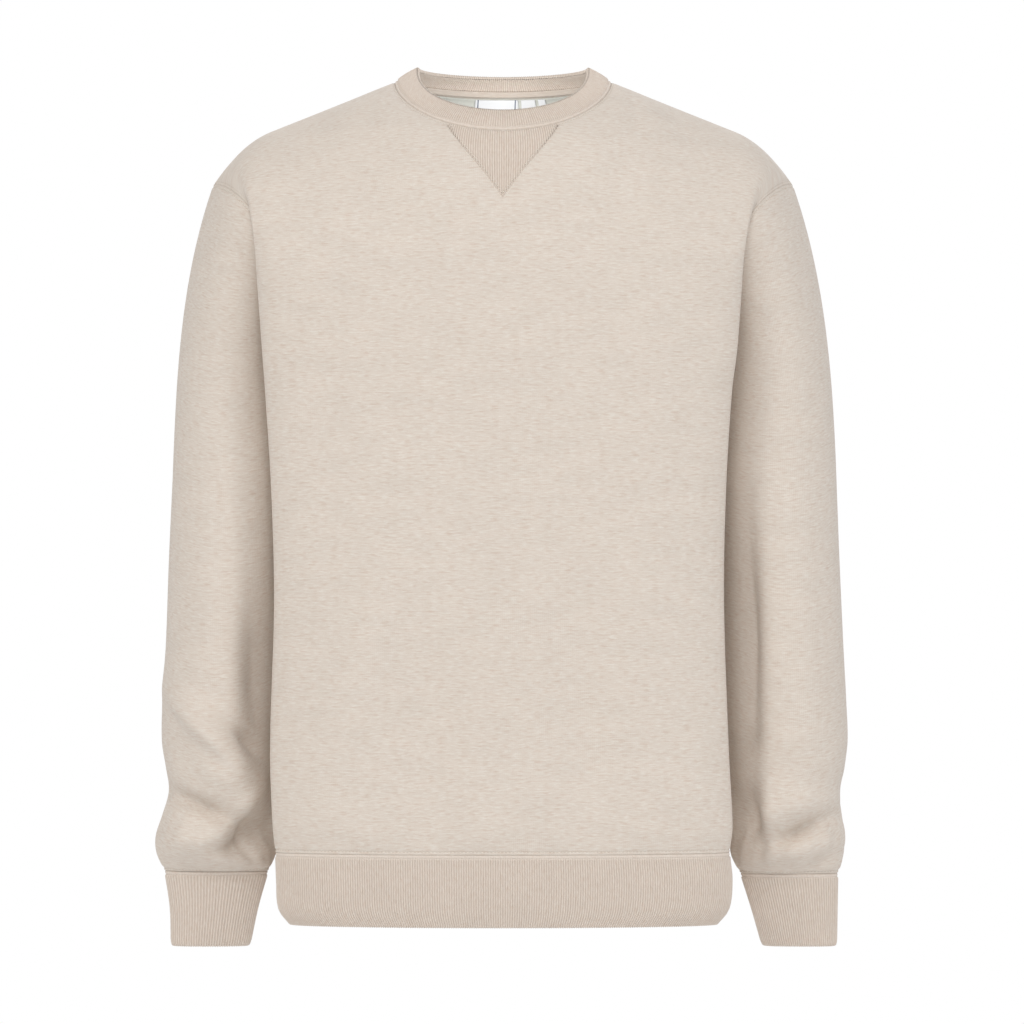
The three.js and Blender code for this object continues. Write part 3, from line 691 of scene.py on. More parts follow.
def flat_places(points: np.ndarray) -> np.ndarray:
    """Place of each point on the flat cloth, from lengths across and up the sheet.

    Args:
        points: rows of columns of points.

    Returns:
        Two places for each point.
    """
    across = arc_along(points, 1)
    across = across - across[:, [across.shape[1] // 2]]
    up = arc_along(points, 0)
    return np.stack([across, up], axis=-1)


def thicken(piece: bpy.types.Object, thickness: float, inner_slot: int = 0) -> None:
    """Gives a sheet its thickness inwards.

    Args:
        piece: the sheet.
        thickness: in millimetres.
        inner_slot: material slot of the inner face.
    """
    wall = piece.modifiers.new("thickness", "SOLIDIFY")
    wall.thickness = thickness * MM
    wall.offset = -1
    wall.use_even_offset = False
    wall.material_offset = inner_slot
    wall.material_offset_rim = 0


def place_piece(piece: bpy.types.Object, nodes: tuple[str, ...],
                finishes: list[bpy.types.Material]) -> None:
    """Seats a piece on the body, in place of its solids, and dresses it.

    Args:
        piece: the new piece.
        nodes: names of the solids that it stands for.
        finishes: its materials.
    """
    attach(piece, BODY)
    if nodes:
        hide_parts(*nodes)
    for finish in finishes:
        piece.data.materials.append(finish)


class Shader:
    """A short way to build one node material."""

    def __init__(self, name: str) -> None:
        """Starts a material with one principled shader.

        Args:
            name: the material's name.
        """
        self.material = bpy.data.materials.new(name)
        self.material.use_nodes = True
        self.tree = self.material.node_tree
        self.surface = self.tree.nodes["Principled BSDF"]

    def settle(self, **values: float | Colour) -> None:
        """Sets inputs of the principled shader.

        Args:
            values: values by input name, with _ for a space.
        """
        for key, value in values.items():
            self.surface.inputs[key.replace("_", " ")].default_value = value

    def feed(self, name: str, socket: bpy.types.NodeSocket) -> None:
        """Links a socket to the principled shader's input of that name."""
        self.tree.links.new(socket, self.surface.inputs[name])

    def bump(self, height: bpy.types.NodeSocket, strength: float, distance: float) -> None:
        """Gives the surface its fine relief.

        Args:
            height: the relief.
            strength: how much of it shows.
            distance: its depth in metres.
        """
        made = self.node("Bump", {"Height": height}, Strength=strength, Distance=distance)
        self.feed("Normal", made.outputs[0])

    def node(self, kind: str, links: dict[str, bpy.types.NodeSocket] | None = None,
             **settings: float | str | tuple) -> bpy.types.Node:
        """Adds a node.

        Args:
            kind: the node's type without its ShaderNode prefix.
            links: input name to the socket that feeds it.
            settings: input values by name, with _ for a space, or the node's own properties.

        Returns:
            The node.
        """
        made = self.tree.nodes.new("ShaderNode" + kind)
        for key, value in settings.items():
            title = key.replace("_", " ")
            if hasattr(made, key):
                setattr(made, key, value)
            elif title in made.inputs:
                made.inputs[title].default_value = value
            else:
                made.inputs[int(key[1:])].default_value = value
        for key, socket in (links or {}).items():
            target = made.inputs[int(key)] if key.isdigit() else made.inputs[key]
            self.tree.links.new(socket, target)
        return made

    def math(self, operation: str, *values: bpy.types.NodeSocket | float,
             clamp: bool = False) -> bpy.types.NodeSocket:
        """Adds a math node.

        Args:
            operation: what it does.
            values: numbers or sockets, in order.
            clamp: whether the result stays between 0 and 1.

        Returns:
            Its result.
        """
        made = self.tree.nodes.new("ShaderNodeMath")
        made.operation = operation
        made.use_clamp = clamp
        for i, value in enumerate(values):
            if isinstance(value, (int, float)):
                made.inputs[i].default_value = value
            else:
                self.tree.links.new(value, made.inputs[i])
        return made.outputs[0]

    def streaks(self, uv: bpy.types.NodeSocket, across: float, up: float,
                detail: float = 3.0, seed: float = 0.0) -> bpy.types.NodeSocket:
        """Noise stretched along one direction of the cloth.

        Args:
            uv: place on the flat cloth, in metres.
            across: repeats to the metre across.
            up: repeats to the metre up.
            detail: octaves.
            seed: moves the pattern.

        Returns:
            The noise value, about 0.5.
        """
        place = self.node("Mapping", {"Vector": uv}, Location=(seed, seed * 0.7, 0.0),
                          Scale=(across, up, 1.0))
        noise = self.node("TexNoise", {"Vector": place.outputs[0]}, Scale=1.0, Detail=detail,
                          Roughness=0.55)
        return noise.outputs["Fac"]

    def mix(self, share: bpy.types.NodeSocket | float, first: bpy.types.NodeSocket | tuple,
            second: bpy.types.NodeSocket | tuple) -> bpy.types.NodeSocket:
        """Blends two colours.

        Args:
            share: how much of the second shows.
            first: a colour or a socket.
            second: a colour or a socket.

        Returns:
            The blend.
        """
        made = self.tree.nodes.new("ShaderNodeMix")
        made.data_type = "RGBA"
        for i, value in ((0, share), (6, first), (7, second)):
            if isinstance(value, (int, float, tuple)):
                made.inputs[i].default_value = value
            else:
                self.tree.links.new(value, made.inputs[i])
        return made.outputs[2]

    def spread(self, value: bpy.types.NodeSocket, low: float, high: float) -> bpy.types.NodeSocket:
        """Stretches a value from low and high to 0 and 1."""
        made = self.node("MapRange", {"Value": value}, From_Min=low, From_Max=high)
        return made.outputs[0]

    def scaled(self, colour: bpy.types.NodeSocket,
               level: bpy.types.NodeSocket) -> bpy.types.NodeSocket:
        """Multiplies a colour by one level.

        Args:
            colour: the colour.
            level: the level, 1 for no change.

        Returns:
            The product.
        """
        made = self.node("VectorMath", {"0": colour, "Scale": level}, operation="SCALE")
        return made.outputs[0]


@dataclass(frozen=True)
class HeatherKnit:
    """Melange knit: short cream and rosy fibre streaks that run across the cloth, with painted
    shade in the rib grooves and beside the seams and their stitch lines where asked for.
    """

    name: str
    base: Colour = (0.722, 0.642, 0.566, 1)
    cream: Colour = (0.82, 0.78, 0.72, 1)
    rosy: Colour = (0.62, 0.48, 0.39, 1)
    streaks_across: float = 150
    streaks_up: float = 780
    cream_range: tuple[float, float] = (0.46, 0.70)
    cream_share: float = 0.75
    rosy_range: tuple[float, float] = (0.50, 0.72)
    rosy_share: float = 0.7
    fibre_depth: float = 0.16
    cloud_depth: float = 0.14
    darkest: float = 0.85
    contrast: float = 0.85
    # painted shade: how far the rib grooves are darkened towards the groove shadow colour
    groove_shadow_share: float = 0.0
    # painted shade: how far the cloth beside seams and along the sunk stitch line is darkened
    seam_shadow_share: float = 0.0
    wale_relief: float = 0.25
    fibre_scale: tuple[float, float] = (900, 2600)
    cloud_scale: tuple[float, float] = (26, 60)
    wale_scale: float = 190
    # colours of the painted shade in the rib grooves and beside the seams
    groove_shadow_colour: Colour = (0.34, 0.25, 0.18, 1)
    seam_shadow_colour: Colour = (0.36, 0.29, 0.22, 1)
    # reach of the painted seam shade, then reach and strength of the painted shadow along the
    # stitch line
    seam_reach: float = 1.1
    stitch_reach: float = 0.7
    stitch_shadow_share: float = 0.6

    def make(self) -> bpy.types.Material:
        """Builds the material.

        Returns:
            The material.
        """
        shader = Shader(self.name)
        uv = shader.node("UVMap", uv_map="cloth").outputs[0]
        cream = shader.streaks(uv, self.streaks_across, self.streaks_up, 3)
        rosy = shader.streaks(uv, self.streaks_across * 0.75, self.streaks_up * 0.8, 3, 7.3)
        fibre = shader.streaks(uv, *self.fibre_scale, 2, 3.1)
        cloud = shader.streaks(uv, *self.cloud_scale, 3, 1.7)
        colour = self.base
        for streak, span, most, tint in (
                (cream, self.cream_range, self.cream_share, self.cream),
                (rosy, self.rosy_range, self.rosy_share, self.rosy)):
            share = shader.math("MULTIPLY", shader.spread(streak, *span), most * self.contrast)
            colour = shader.mix(share, colour, tint)
        level = shader.math("ADD", shader.math("MULTIPLY", fibre, self.fibre_depth),
                            shader.math("MULTIPLY", cloud, self.cloud_depth * self.contrast))
        level = shader.math("ADD", level, self.darkest)
        colour = shader.scaled(colour, level)
        # Painted shade: the rib grooves are darkened towards the groove shadow colour.
        if self.groove_shadow_share:
            groove = shader.node("Attribute", attribute_name="groove").outputs["Fac"]
            sunk = shader.math("MULTIPLY", groove, self.groove_shadow_share)
            colour = shader.mix(sunk, colour, self.groove_shadow_colour)
        # Painted shade: cloth beside the seam and along the sunk stitch line is darkened towards
        # the seam shadow colour.
        if self.seam_shadow_share:
            seam = shader.node("Attribute", attribute_name="seam").outputs["Fac"]
            near = self.closeness(shader, seam, self.seam_reach)
            off = shader.math("ABSOLUTE", shader.math("SUBTRACT", seam, SEWN.stitch_at))
            line = self.closeness(shader, off, self.stitch_reach)
            near = shader.math("MAXIMUM", near, shader.math("MULTIPLY", line, self.stitch_shadow_share))
            colour = shader.mix(shader.math("MULTIPLY", near, self.seam_shadow_share), colour,
                                self.seam_shadow_colour)
        shader.feed("Base Color", colour)
        wale = shader.node("TexWave", {"Vector": uv}, wave_type="BANDS", bands_direction="X",
                           Scale=self.wale_scale, Distortion=1.2, Detail=1.0, Detail_Scale=3.0)
        height = shader.math("ADD", shader.math("MULTIPLY", fibre, 0.8),
                             shader.math("MULTIPLY", wale.outputs["Fac"], self.wale_relief))
        height = shader.math("ADD", height, shader.math("MULTIPLY", cream, 0.3))
        shader.bump(height, strength=0.5, distance=0.0004)
        shader.settle(Roughness=0.92, Specular_IOR_Level=0.15, Sheen_Weight=0.2,
                      Sheen_Roughness=0.5)
        return shader.material

    def closeness(self, shader: Shader, distance: bpy.types.NodeSocket,
                  reach: float) -> bpy.types.NodeSocket:
        """Value that falls from 1 on a line to 0 at some distance from it.

        Args:
            shader: the material that is being built.
            distance: how far the point is from the line, in millimetres.
            reach: where the value is 0.

        Returns:
            The value.
        """
        share = shader.math("DIVIDE", distance, reach, clamp=True)
        return shader.math("SUBTRACT", 1.0, share)


@dataclass(frozen=True)
class LabelWeave:
    """Smooth woven label, with a thin plain border or none, in metres."""

    name: str
    width: float
    length: float
    border: float = 0.0
    ground: Colour = (0.86, 0.87, 0.89, 1)
    line: Colour = (0.05, 0.07, 0.14, 1)
    line_width: float = 0.00084

    def make(self) -> bpy.types.Material:
        """Builds the material.

        Returns:
            The material.
        """
        shader = Shader(self.name)
        uv = shader.node("UVMap", uv_map="cloth").outputs[0]
        if self.border:
            split = shader.node("SeparateXYZ", {"Vector": uv})
            side = shader.math("SUBTRACT", self.width / 2,
                               shader.math("ABSOLUTE", split.outputs[0]))
            top = shader.math("SUBTRACT", self.length, split.outputs[1])
            inset = shader.math("MINIMUM", side, shader.math("MINIMUM", top, split.outputs[1]))
            off = shader.math("ABSOLUTE", shader.math("SUBTRACT", inset, self.border))
            drawn = shader.math("LESS_THAN", off, self.line_width / 2)
            colour = shader.mix(drawn, self.ground, self.line)
            shader.feed("Base Color", colour)
        else:
            shader.settle(Base_Color=self.ground)
        weave = shader.node("TexNoise", {"Vector": uv}, Scale=3000.0, Detail=1.0)
        shader.bump(weave.outputs[0], strength=0.25, distance=0.0001)
        shader.settle(Roughness=0.6)
        return shader.material


@dataclass(frozen=True)
class PlainThread:
    """Cotton sewing thread."""

    name: str
    colour: Colour = (0.80, 0.735, 0.65, 1)

    def make(self) -> bpy.types.Material:
        """Builds the material.

        Returns:
            The material.
        """
        shader = Shader(self.name)
        place = shader.node("TexCoord").outputs["Object"]
        twist = shader.node("TexNoise", {"Vector": place}, Scale=2500.0, Detail=1.0)
        shader.bump(twist.outputs[0], strength=0.3, distance=0.0001)
        shader.settle(Base_Color=self.colour, Roughness=0.8)
        return shader.material


@dataclass(frozen=True)
class SewnEdge:
    """How cloth sinks beside a seam and under a row of stitches, in millimetres."""

    roll: float = 0.65
    roll_reach: float = 1.0
    stitch_at: float = 2.6
    stitch_depth: float = 0.85
    stitch_reach: float = 0.8
    under_depth: float = 1.3
    under_reach: float = 2.2

    def sink(self, distance: np.ndarray) -> np.ndarray:
        """Depth of the cloth at that distance from the seam."""
        line = np.exp(-(((distance - self.stitch_at) / self.stitch_reach) ** 2))
        return self.roll * np.exp(-((distance / self.roll_reach) ** 2)) + self.stitch_depth * line

    def under(self, edge: np.ndarray, beside: np.ndarray, outward: np.ndarray) -> np.ndarray:
        """Row that carries an edge on, beneath its neighbour.

        Args:
            edge: points of the edge.
            beside: points of the next row of the same sheet.
            outward: normals of the edge.

        Returns:
            The row's points.
        """
        return edge + unit(edge - beside) * self.under_reach - outward * self.under_depth


SEWN = SewnEdge()


def eased(count: int, start: float, end: float, lead: tuple[float, ...],
          tail: tuple[float, ...]) -> np.ndarray:
    """Even steps with extra places close to each end.

    Args:
        count: number of even steps.
        start: first value.
        end: last value.
        lead: extra places just after the start.
        tail: extra places just before the end.

    Returns:
        The sorted values.
    """
    even = np.linspace(start, end, count)
    extra = [start + step for step in lead] + [end - step for step in tail]
    return np.unique(np.round(np.concatenate([even, extra]), 7))


@dataclass
class BodyPanels:
    """Front and back of the body, in millimetres, with their flat sizes in metres."""

    form: BodyForm
    thickness: float = 2.0
    columns: int = 78
    low_rows: int = 118
    yoke_rows: int = 62
    flat: dict[Face, tuple[float, float, float]] = field(default_factory=lambda: {
        Face.FRONT: (0.62, 0.70, 0.355), Face.BACK: (0.58, 0.69, 0.335)})
    outer: dict[Face, np.ndarray] = field(default_factory=dict)

    def across(self) -> np.ndarray:
        """Signed places of the columns, denser beside the armhole."""
        half = eased(self.columns, 0, 1, (), (0.0008, 0.0016, 0.0024, 0.0034, 0.005, 0.008))
        return np.concatenate([-half[:0:-1], half])

    def levels(self) -> np.ndarray:
        """Levels of the rows, denser beside the hem, neck and shoulder seams.

        Returns:
            The rising levels.
        """
        hem = (0.0013, 0.0025, 0.0038, 0.0051, 0.0064, 0.0079)
        top = (0.0034, 0.0069, 0.0104, 0.0138, 0.0172, 0.0216)
        low = eased(self.low_rows, 0, 1, hem, ())
        high = eased(self.yoke_rows, 1, 2, (), top)
        return np.concatenate([low, high[1:]])

    def build(self, cloth: bpy.types.Material, inside: bpy.types.Material) -> None:
        """Makes both panels.

        Args:
            cloth: finish of the outer face.
            inside: finish of the brushed inner face.
        """
        names = {Face.FRONT: "front_panel", Face.BACK: "back_panel"}
        for face, node in names.items():
            at = -face.value * self.across()
            points = self.form.panel(face, at[None, :], self.levels()[:, None])
            plain = self.form.panel(face, at[None, :], self.levels()[:, None], False)
            distance = self.seam_distance(points)
            points = points - sheet_normals(points, False) * SEWN.sink(distance)[..., None]
            self.outer[face] = points
            # the seam distance also places the material's painted seam shade
            piece = grid_sheet(f"{node}_cloth", points, flat_places(plain), False,
                               {"seam": distance})
            thicken(piece, self.thickness, 1)
            place_piece(piece, (node,), [cloth, inside])
            width, length, area = self.flat[face]
            log.info("%s: %d points", piece.name, len(piece.data.vertices))

    def seam_distance(self, points: np.ndarray) -> np.ndarray:
        """Distance along the cloth from the nearest edge of a panel.

        Args:
            points: rows of columns of points.

        Returns:
            The distance of each point.
        """
        up = arc_along(points, 0)
        across = arc_along(points, 1)
        return np.minimum.reduce([up, up[-1:] - up, across, across[:, -1:] - across])


@dataclass
class Sleeve:
    """One sleeve up to its armhole, in millimetres, with its flat size in metres."""

    form: SleeveForm
    thickness: float = 2.0
    columns: int = 174
    low_rows: int = 138
    cap_rows: int = 60
    flat: tuple[float, float, float] = (0.46, 0.66, 0.185)
    outer: np.ndarray | None = None

    def build(self, cloth: bpy.types.Material, inside: bpy.types.Material) -> None:
        """Makes the sleeve.

        Args:
            cloth: finish of the outer face.
            inside: finish of the brushed inner face.
        """
        form = self.form
        keys = form.sections.keys
        turn = np.linspace(0, 1, self.columns + 1)
        z = eased(self.low_rows, keys[0], keys[-1], (0.3, 0.6, 0.9, 1.3, 1.7, 2.1, 2.6), ())
        t = eased(self.cap_rows, 0, 1, (0.004, 0.008, 0.012, 0.016, 0.02, 0.026), ())[::-1]
        turns, ts = np.meshgrid(turn, t[1:])
        points, plain = (
            np.concatenate([form.oval(form.sections, turn[None, :], z[:, None], folds),
                            form.cap(turns, ts, folds)], axis=0) for folds in (True, False))
        up = arc_along(points, 0)
        distance = np.minimum(up, up[-1:] - up)
        normals = sheet_normals(points, True)
        points = points - normals * SEWN.sink(distance)[..., None]
        self.outer = points
        points = np.concatenate([points, SEWN.under(points[-1:], points[-2:-1], normals[-1:])])
        plain = np.concatenate([plain, 2 * plain[-1:] - plain[-2:-1]])
        distance = np.concatenate([distance, distance[-1:]])
        side = form.side.name.lower()
        # the seam distance also places the material's painted seam shade
        piece = grid_sheet(f"sleeve_{side}_cloth", points, flat_places(plain), True,
                           {"seam": distance})
        thicken(piece, self.thickness, 1)
        place_piece(piece, (f"sleeve_{side}",), [cloth, inside])
        width, length, area = self.flat
        log.info("%s: %d points", piece.name, len(piece.data.vertices))


@dataclass
class RibBand:
    """Collar, cuff or hem of rib folded double, in millimetres, its flat size in metres."""

    name: str
    node: str
    ring: Ring
    height: float
    pitch: float
    flat: tuple[float, float]
    thickness: float = 3.0
    rib_height: float = 0.8
    rows: int = 9
    per_rib: int = 5
    seam_rows: tuple[float, ...] = (0.5, 1.1, 1.8, 2.6, 3.4, 4.2)
    edge_rows: tuple[float, ...] = (0.04, 0.1)
    plain_edge: float = 4.0
    shaded_to: float = 9.0
    fold_steps: int = 7
    fold_low: bool = True

    def build(self, cloth: bpy.types.Material) -> None:
        """Makes the band.

        Args:
            cloth: its finish.
        """
        fine = np.linspace(0, 1, 2001)
        girth = arc_along(self.ring(fine, np.full_like(fine, 0.5)), 0)
        ribs = round(girth[-1] / self.pitch)
        turn = np.interp(np.linspace(0, girth[-1], ribs * self.per_rib + 1), girth, fine)
        lead = tuple(step / self.height for step in self.seam_rows)
        turns, rises = np.meshgrid(turn, eased(self.rows, 0, 1, lead, self.edge_rows))
        points = self.ring(turns, rises)
        facing = -1 if self.fold_low else 1
        distance = arc_along(points, 0)
        sunk = SEWN.sink(distance)[..., None]
        points = points - facing * sheet_normals(points, True) * sunk
        shell = self.folded(points)
        wave = np.cos(np.linspace(0, 2 * math.pi * ribs, len(turn)))
        normals = facing * sheet_normals(shell, True)
        grown = np.ones(len(shell))
        grown[1:1 + len(points)] = np.clip(distance.mean(axis=1) / self.plain_edge, 0, 1) ** 3
        grown[0] = 0
        shell = shell + normals * (0.5 * self.rib_height * wave * grown[:, None])[..., None]
        # the groove attribute marks the rib valleys, where the material paints shade
        groove = np.broadcast_to(0.5 - 0.5 * wave, shell.shape[:2]) * grown[:, None]
        along = arc_along(shell, 0)
        # distance from the seam, capped where the material's painted seam shade stops
        far = np.minimum(np.abs(along - along[1:2]), self.shaded_to)
        if self.fold_low:
            shell, groove, far = shell[::-1], groove[::-1], far[::-1]
        piece = grid_sheet(self.name, shell, flat_places(shell), True,
                           {"groove": groove, "seam": far})
        place_piece(piece, (self.node,), [cloth])
        log.info("%s: %d ribs, %d points", self.name, ribs, len(piece.data.vertices))

    def folded(self, points: np.ndarray) -> np.ndarray:
        """Carries the outer face over its folded edge and back up inside.

        Args:
            points: rows of the outer face, from its seam.

        Returns:
            Rows of the whole band.
        """
        facing = -1 if self.fold_low else 1
        normals = facing * sheet_normals(points, True)
        radius = self.thickness / 2
        behind = points - normals * self.thickness
        inner = np.delete(behind, np.s_[1:1 + len(self.seam_rows)], axis=0)[::-1]
        tip = unit(points[-1] - points[-2])
        middle = points[-1] - normals[-1] * radius - tip * radius
        arcs = [middle + radius * (math.cos(a) * normals[-1] + math.sin(a) * tip)
                for a in np.linspace(0, math.pi, self.fold_steps)]
        under = SEWN.under(points[:1], points[1:2], normals[:1])
        return np.concatenate([under, points[:-1], np.array(arcs), inner[1:]], axis=0)


def ring_of_faces(points_on: Callable[[Face, np.ndarray, np.ndarray], np.ndarray]) -> Ring:
    """Ring that runs round the front of the body and then round its back.

    Args:
        points_on: points of one face, from places across it and shares of the height.

    Returns:
        Points at shares of the way round and of the height.
    """
    def ring(turn: np.ndarray, rise: np.ndarray) -> np.ndarray:
        """Points of the ring.

        Args:
            turn: share of the way round.
            rise: share of the height.

        Returns:
            The points.
        """
        at = np.where(turn <= 0.5, 4 * turn - 1, 3 - 4 * turn)
        front, back = (points_on(face, at, rise) for face in Face)
        return np.where((turn <= 0.5)[..., None], front, back)
    return ring


@dataclass
class VInsert:
    """Ribbed V below the collar, in millimetres, with its flat size in metres."""

    form: BodyForm
    half_at: float = 0.103
    tip: float = 0.53
    top: float = 0.988
    blunt: float = 0.01
    lift: float = 0.7
    thickness: float = 1.0
    pitch: float = 1.9
    rib_height: float = 0.7
    per_rib: int = 6
    rows: int = 44
    depth: float = 60
    sink_share: float = 0.8
    unshaded: float = 9.0
    flat: tuple[float, float, float] = (0.093, 0.064, 0.0031)
    stitch_insets: tuple[tuple[float, float], ...] = ((0.022, 0.9), (-0.016, 0.0))

    def surface(self, across: np.ndarray, share: np.ndarray, lift: float) -> np.ndarray:
        """Points over the V.

        Args:
            across: -1 to 1 over its width.
            share: 0 at its lower edge and 1 at the neck seam.
            lift: how far the points stand off the panel.

        Returns:
            The points.
        """
        depth = (self.top - self.tip) * (1 - np.abs(across)) + self.blunt
        level = 1 + self.top - depth * (1 - share)
        step = 0.002
        at = across * self.half_at
        points = self.form.panel(Face.FRONT, at, level)
        right = self.form.panel(Face.FRONT, at + step, level) - points
        up = points - self.form.panel(Face.FRONT, at, level - step)
        return points + unit(np.cross(right, up)) * lift

    def edge_lines(self) -> list[tuple[np.ndarray, np.ndarray]]:
        """Stitch lines inside and outside the two sloping edges.

        Returns:
            Points and normals of each line.
        """
        across = np.linspace(-1, 1, 301)
        lines = []
        for inset, lift in self.stitch_insets:
            inside = across * (1 - max(inset, 0) * 2)
            level = 1 + self.top - (self.top - self.tip) * (1 - np.abs(inside)) - self.blunt
            points = self.form.panel(Face.FRONT, inside * self.half_at, level + inset)
            right = np.gradient(points, axis=0)
            up = self.form.panel(Face.FRONT, inside * self.half_at, level + inset + 0.01) - points
            normals = unit(np.cross(right, up))
            lines.append((points + normals * lift, normals))
        return lines

    def build(self, cloth: bpy.types.Material) -> None:
        """Makes the insert.

        Args:
            cloth: its finish.
        """
        line = self.surface(np.linspace(-1, 1, 400), np.ones(400), 0)
        width = arc_along(line, 0)[-1]
        ribs = round(width / self.pitch)
        across = np.linspace(-1, 1, ribs * self.per_rib + 1)
        grid_across, share = np.meshgrid(across, np.linspace(0, 1, self.rows))
        points = self.surface(grid_across, share, self.lift)
        wave = np.cos(np.linspace(0, 2 * math.pi * ribs, len(across)))
        sunk = SEWN.sink(share * self.depth)[..., None] * self.sink_share
        points -= sheet_normals(points, False) * sunk
        points += sheet_normals(points, False) * (self.rib_height * 0.5 * wave)[:, None]
        places = flat_places(points)
        places[..., 1] = points[..., 2]
        # the groove attribute marks the rib valleys, where the material paints shade
        groove = np.broadcast_to(0.5 - 0.5 * wave, points.shape[:2])
        # a seam distance of unshaded everywhere keeps the painted seam shade off the V
        piece = grid_sheet("v_insert_rib", points, places, False,
                           {"groove": groove,
                            "seam": np.full(points.shape[:2], self.unshaded)})
        thicken(piece, self.thickness)
        place_piece(piece, ("v_insert",), [cloth])
        width, length, area = self.flat
        log.info("%s: %d ribs", piece.name, ribs)


@dataclass
class NeckTrim:
    """Neck tape and three bare labels, in millimetres, but tape_flat and border in metres."""

    form: BodyForm
    tape_from: float = 0.02
    tape_to: float = 0.30
    band: float = 3.4
    tape_wall: float = 0.7
    tape_flat: tuple[float, float, float] = (0.19, 0.01, 0.00114)
    behind: float = 2.9
    label_wall: float = 0.5
    border: float = 0.0022
    start: float = 0.985
    yoke_length: float = 178
    least_flat: float = 10
    labels: tuple[tuple[str, float, float, float], ...] = (
        ("neck_label", -23.5, 12.6, 24), ("size_label", 15.1, 26.9, 17),
        ("care_tab", 29.4, 35.3, 13))

    def build(self, tape: bpy.types.Material) -> None:
        """Makes the tape, and the labels with finishes of their own.

        Args:
            tape: finish of the tape.
        """
        at = np.linspace(1, -1, 161)
        rise = np.linspace(self.tape_from, self.tape_to, 7)
        ats, rises = np.meshgrid(at, rise)
        outer = self.form.collar(Face.BACK, ats, rises)
        points = outer - sheet_normals(outer, False) * self.band
        piece = grid_sheet("neck_tape_cloth", points, flat_places(points), False)
        thicken(piece, self.tape_wall)
        place_piece(piece, ("neck_tape",), [tape])
        width, length, area = self.tape_flat
        for name, left, right, drop in self.labels:
            self.label(name, left, right, drop)
        log.info("neck tape and %d labels", len(self.labels))

    def label(self, name: str, left: float, right: float, drop: float) -> None:
        """Makes one label.

        Args:
            name: its node.
            left: its edge towards -X.
            right: its edge towards +X.
            drop: its length.
        """
        x = np.linspace(right, left, 25)
        at = self.form.neck_at * np.arcsin(x / self.form.neck_half_width) / (math.pi / 2)
        level = 1 + self.start - drop / self.yoke_length * np.linspace(1, 0, 25)
        ats, levels = np.meshgrid(at, level)
        outer = self.form.panel(Face.BACK, ats, levels)
        points = outer - sheet_normals(outer, False) * self.behind
        piece = grid_sheet(f"{name}_cloth", points, flat_places(points), False)
        thicken(piece, self.label_wall)
        border = self.border if name == "neck_label" else 0.0
        finish = LabelWeave(f"{name}_weave", (right - left) * MM, drop * MM, border).make()
        place_piece(piece, (name,), [finish])
        width = max(right - left, self.least_flat) * MM


@dataclass
class Sewing:
    """Rows of stitches beside the seams and the V's edges, in millimetres."""

    stitch: float = 2.1
    gap: float = 0.9
    width: float = 0.8
    height: float = 0.6
    offset: float = 2.6

    def line(self, points: np.ndarray, normals: np.ndarray) -> list[Matrix]:
        """Places of the stitches along a line.

        Args:
            points: points of the line, in millimetres.
            normals: outward normal at each.

        Returns:
            One matrix for each stitch.
        """
        along = arc_along(points, 0)
        count = max(2, int(along[-1] / (self.stitch + self.gap)))
        stops = (np.arange(count) + 0.5) * along[-1] / count
        where = np.stack([np.interp(stops, along, points[:, i]) for i in range(3)], axis=-1)
        facing = np.stack([np.interp(stops, along, normals[:, i]) for i in range(3)], axis=-1)
        ahead = np.gradient(where, axis=0)
        places = []
        for spot, out, way in zip(where, unit(facing), unit(ahead)):
            across = np.cross(out, way)
            turn = Matrix((way, across, out)).transposed().to_4x4()
            size = Matrix.Diagonal((self.stitch / 2 * MM, self.width / 2 * MM,
                                    self.height / 2 * MM, 1))
            places.append(Matrix.Translation(Vector(spot * MM)) @ turn @ size)
        return places

    def beside_rows(self, points: np.ndarray, closed: bool,
                    last: bool) -> tuple[np.ndarray, np.ndarray]:
        """Line at the stitches' distance from an edge of a sheet.

        Args:
            points: rows of columns of points.
            closed: whether the last column repeats the first.
            last: whether the edge is the last row.

        Returns:
            Points of the line and the normal at each.
        """
        normals = sheet_normals(points, closed)
        up = arc_along(points, 0)
        up = up[-1:] - up if last else up
        columns = np.arange(points.shape[1])
        rows = np.argmin(np.abs(up - self.offset), axis=0)
        beside = np.minimum(rows + 1, len(points) - 1)
        here, there = up[rows, columns], up[beside, columns]
        step = np.where(np.abs(there - here) < 1e-6, 1, there - here)
        share = np.clip((self.offset - here) / step, -1, 1)[:, None]
        nearest = points[rows, columns]
        return nearest + (points[beside, columns] - nearest) * share, normals[rows, columns]

    def lines(self, body: BodyPanels, sleeves: list[Sleeve],
              insert: VInsert) -> list[tuple[np.ndarray, np.ndarray]]:
        """Lines of stitches beside the hem, cuff, armhole, V and top seams.

        Args:
            body: the built panels.
            sleeves: the built sleeves.
            insert: the V.

        Returns:
            Points and normals of each line.
        """
        lines = [self.beside_rows(body.outer[face], False, False) for face in Face]
        for sleeve in sleeves:
            lines += [self.beside_rows(sleeve.outer, True, last) for last in (False, True)]
        lines += insert.edge_lines()
        return lines + [self.beside_rows(body.outer[face], False, True) for face in Face]

    def build(self, name: str, body: BodyPanels, sleeves: list[Sleeve], insert: VInsert,
              thread: bpy.types.Material) -> None:
        """Makes all stitches as one piece.

        Args:
            name: the piece's name.
            body: the built panels.
            sleeves: the built sleeves.
            insert: the V.
            thread: finish of the stitches.
        """
        shape = bmesh.new()
        count = 0
        for points, normals in self.lines(body, sleeves, insert):
            for place in self.line(points, normals):
                bmesh.ops.create_icosphere(shape, subdivisions=1, radius=1, matrix=place)
                count += 1
        mesh = finished_mesh(shape, name)
        mesh.shade_smooth()
        place_piece(add_object(name, mesh), (), [thread])
        log.info("%s: %d stitches", name, count)


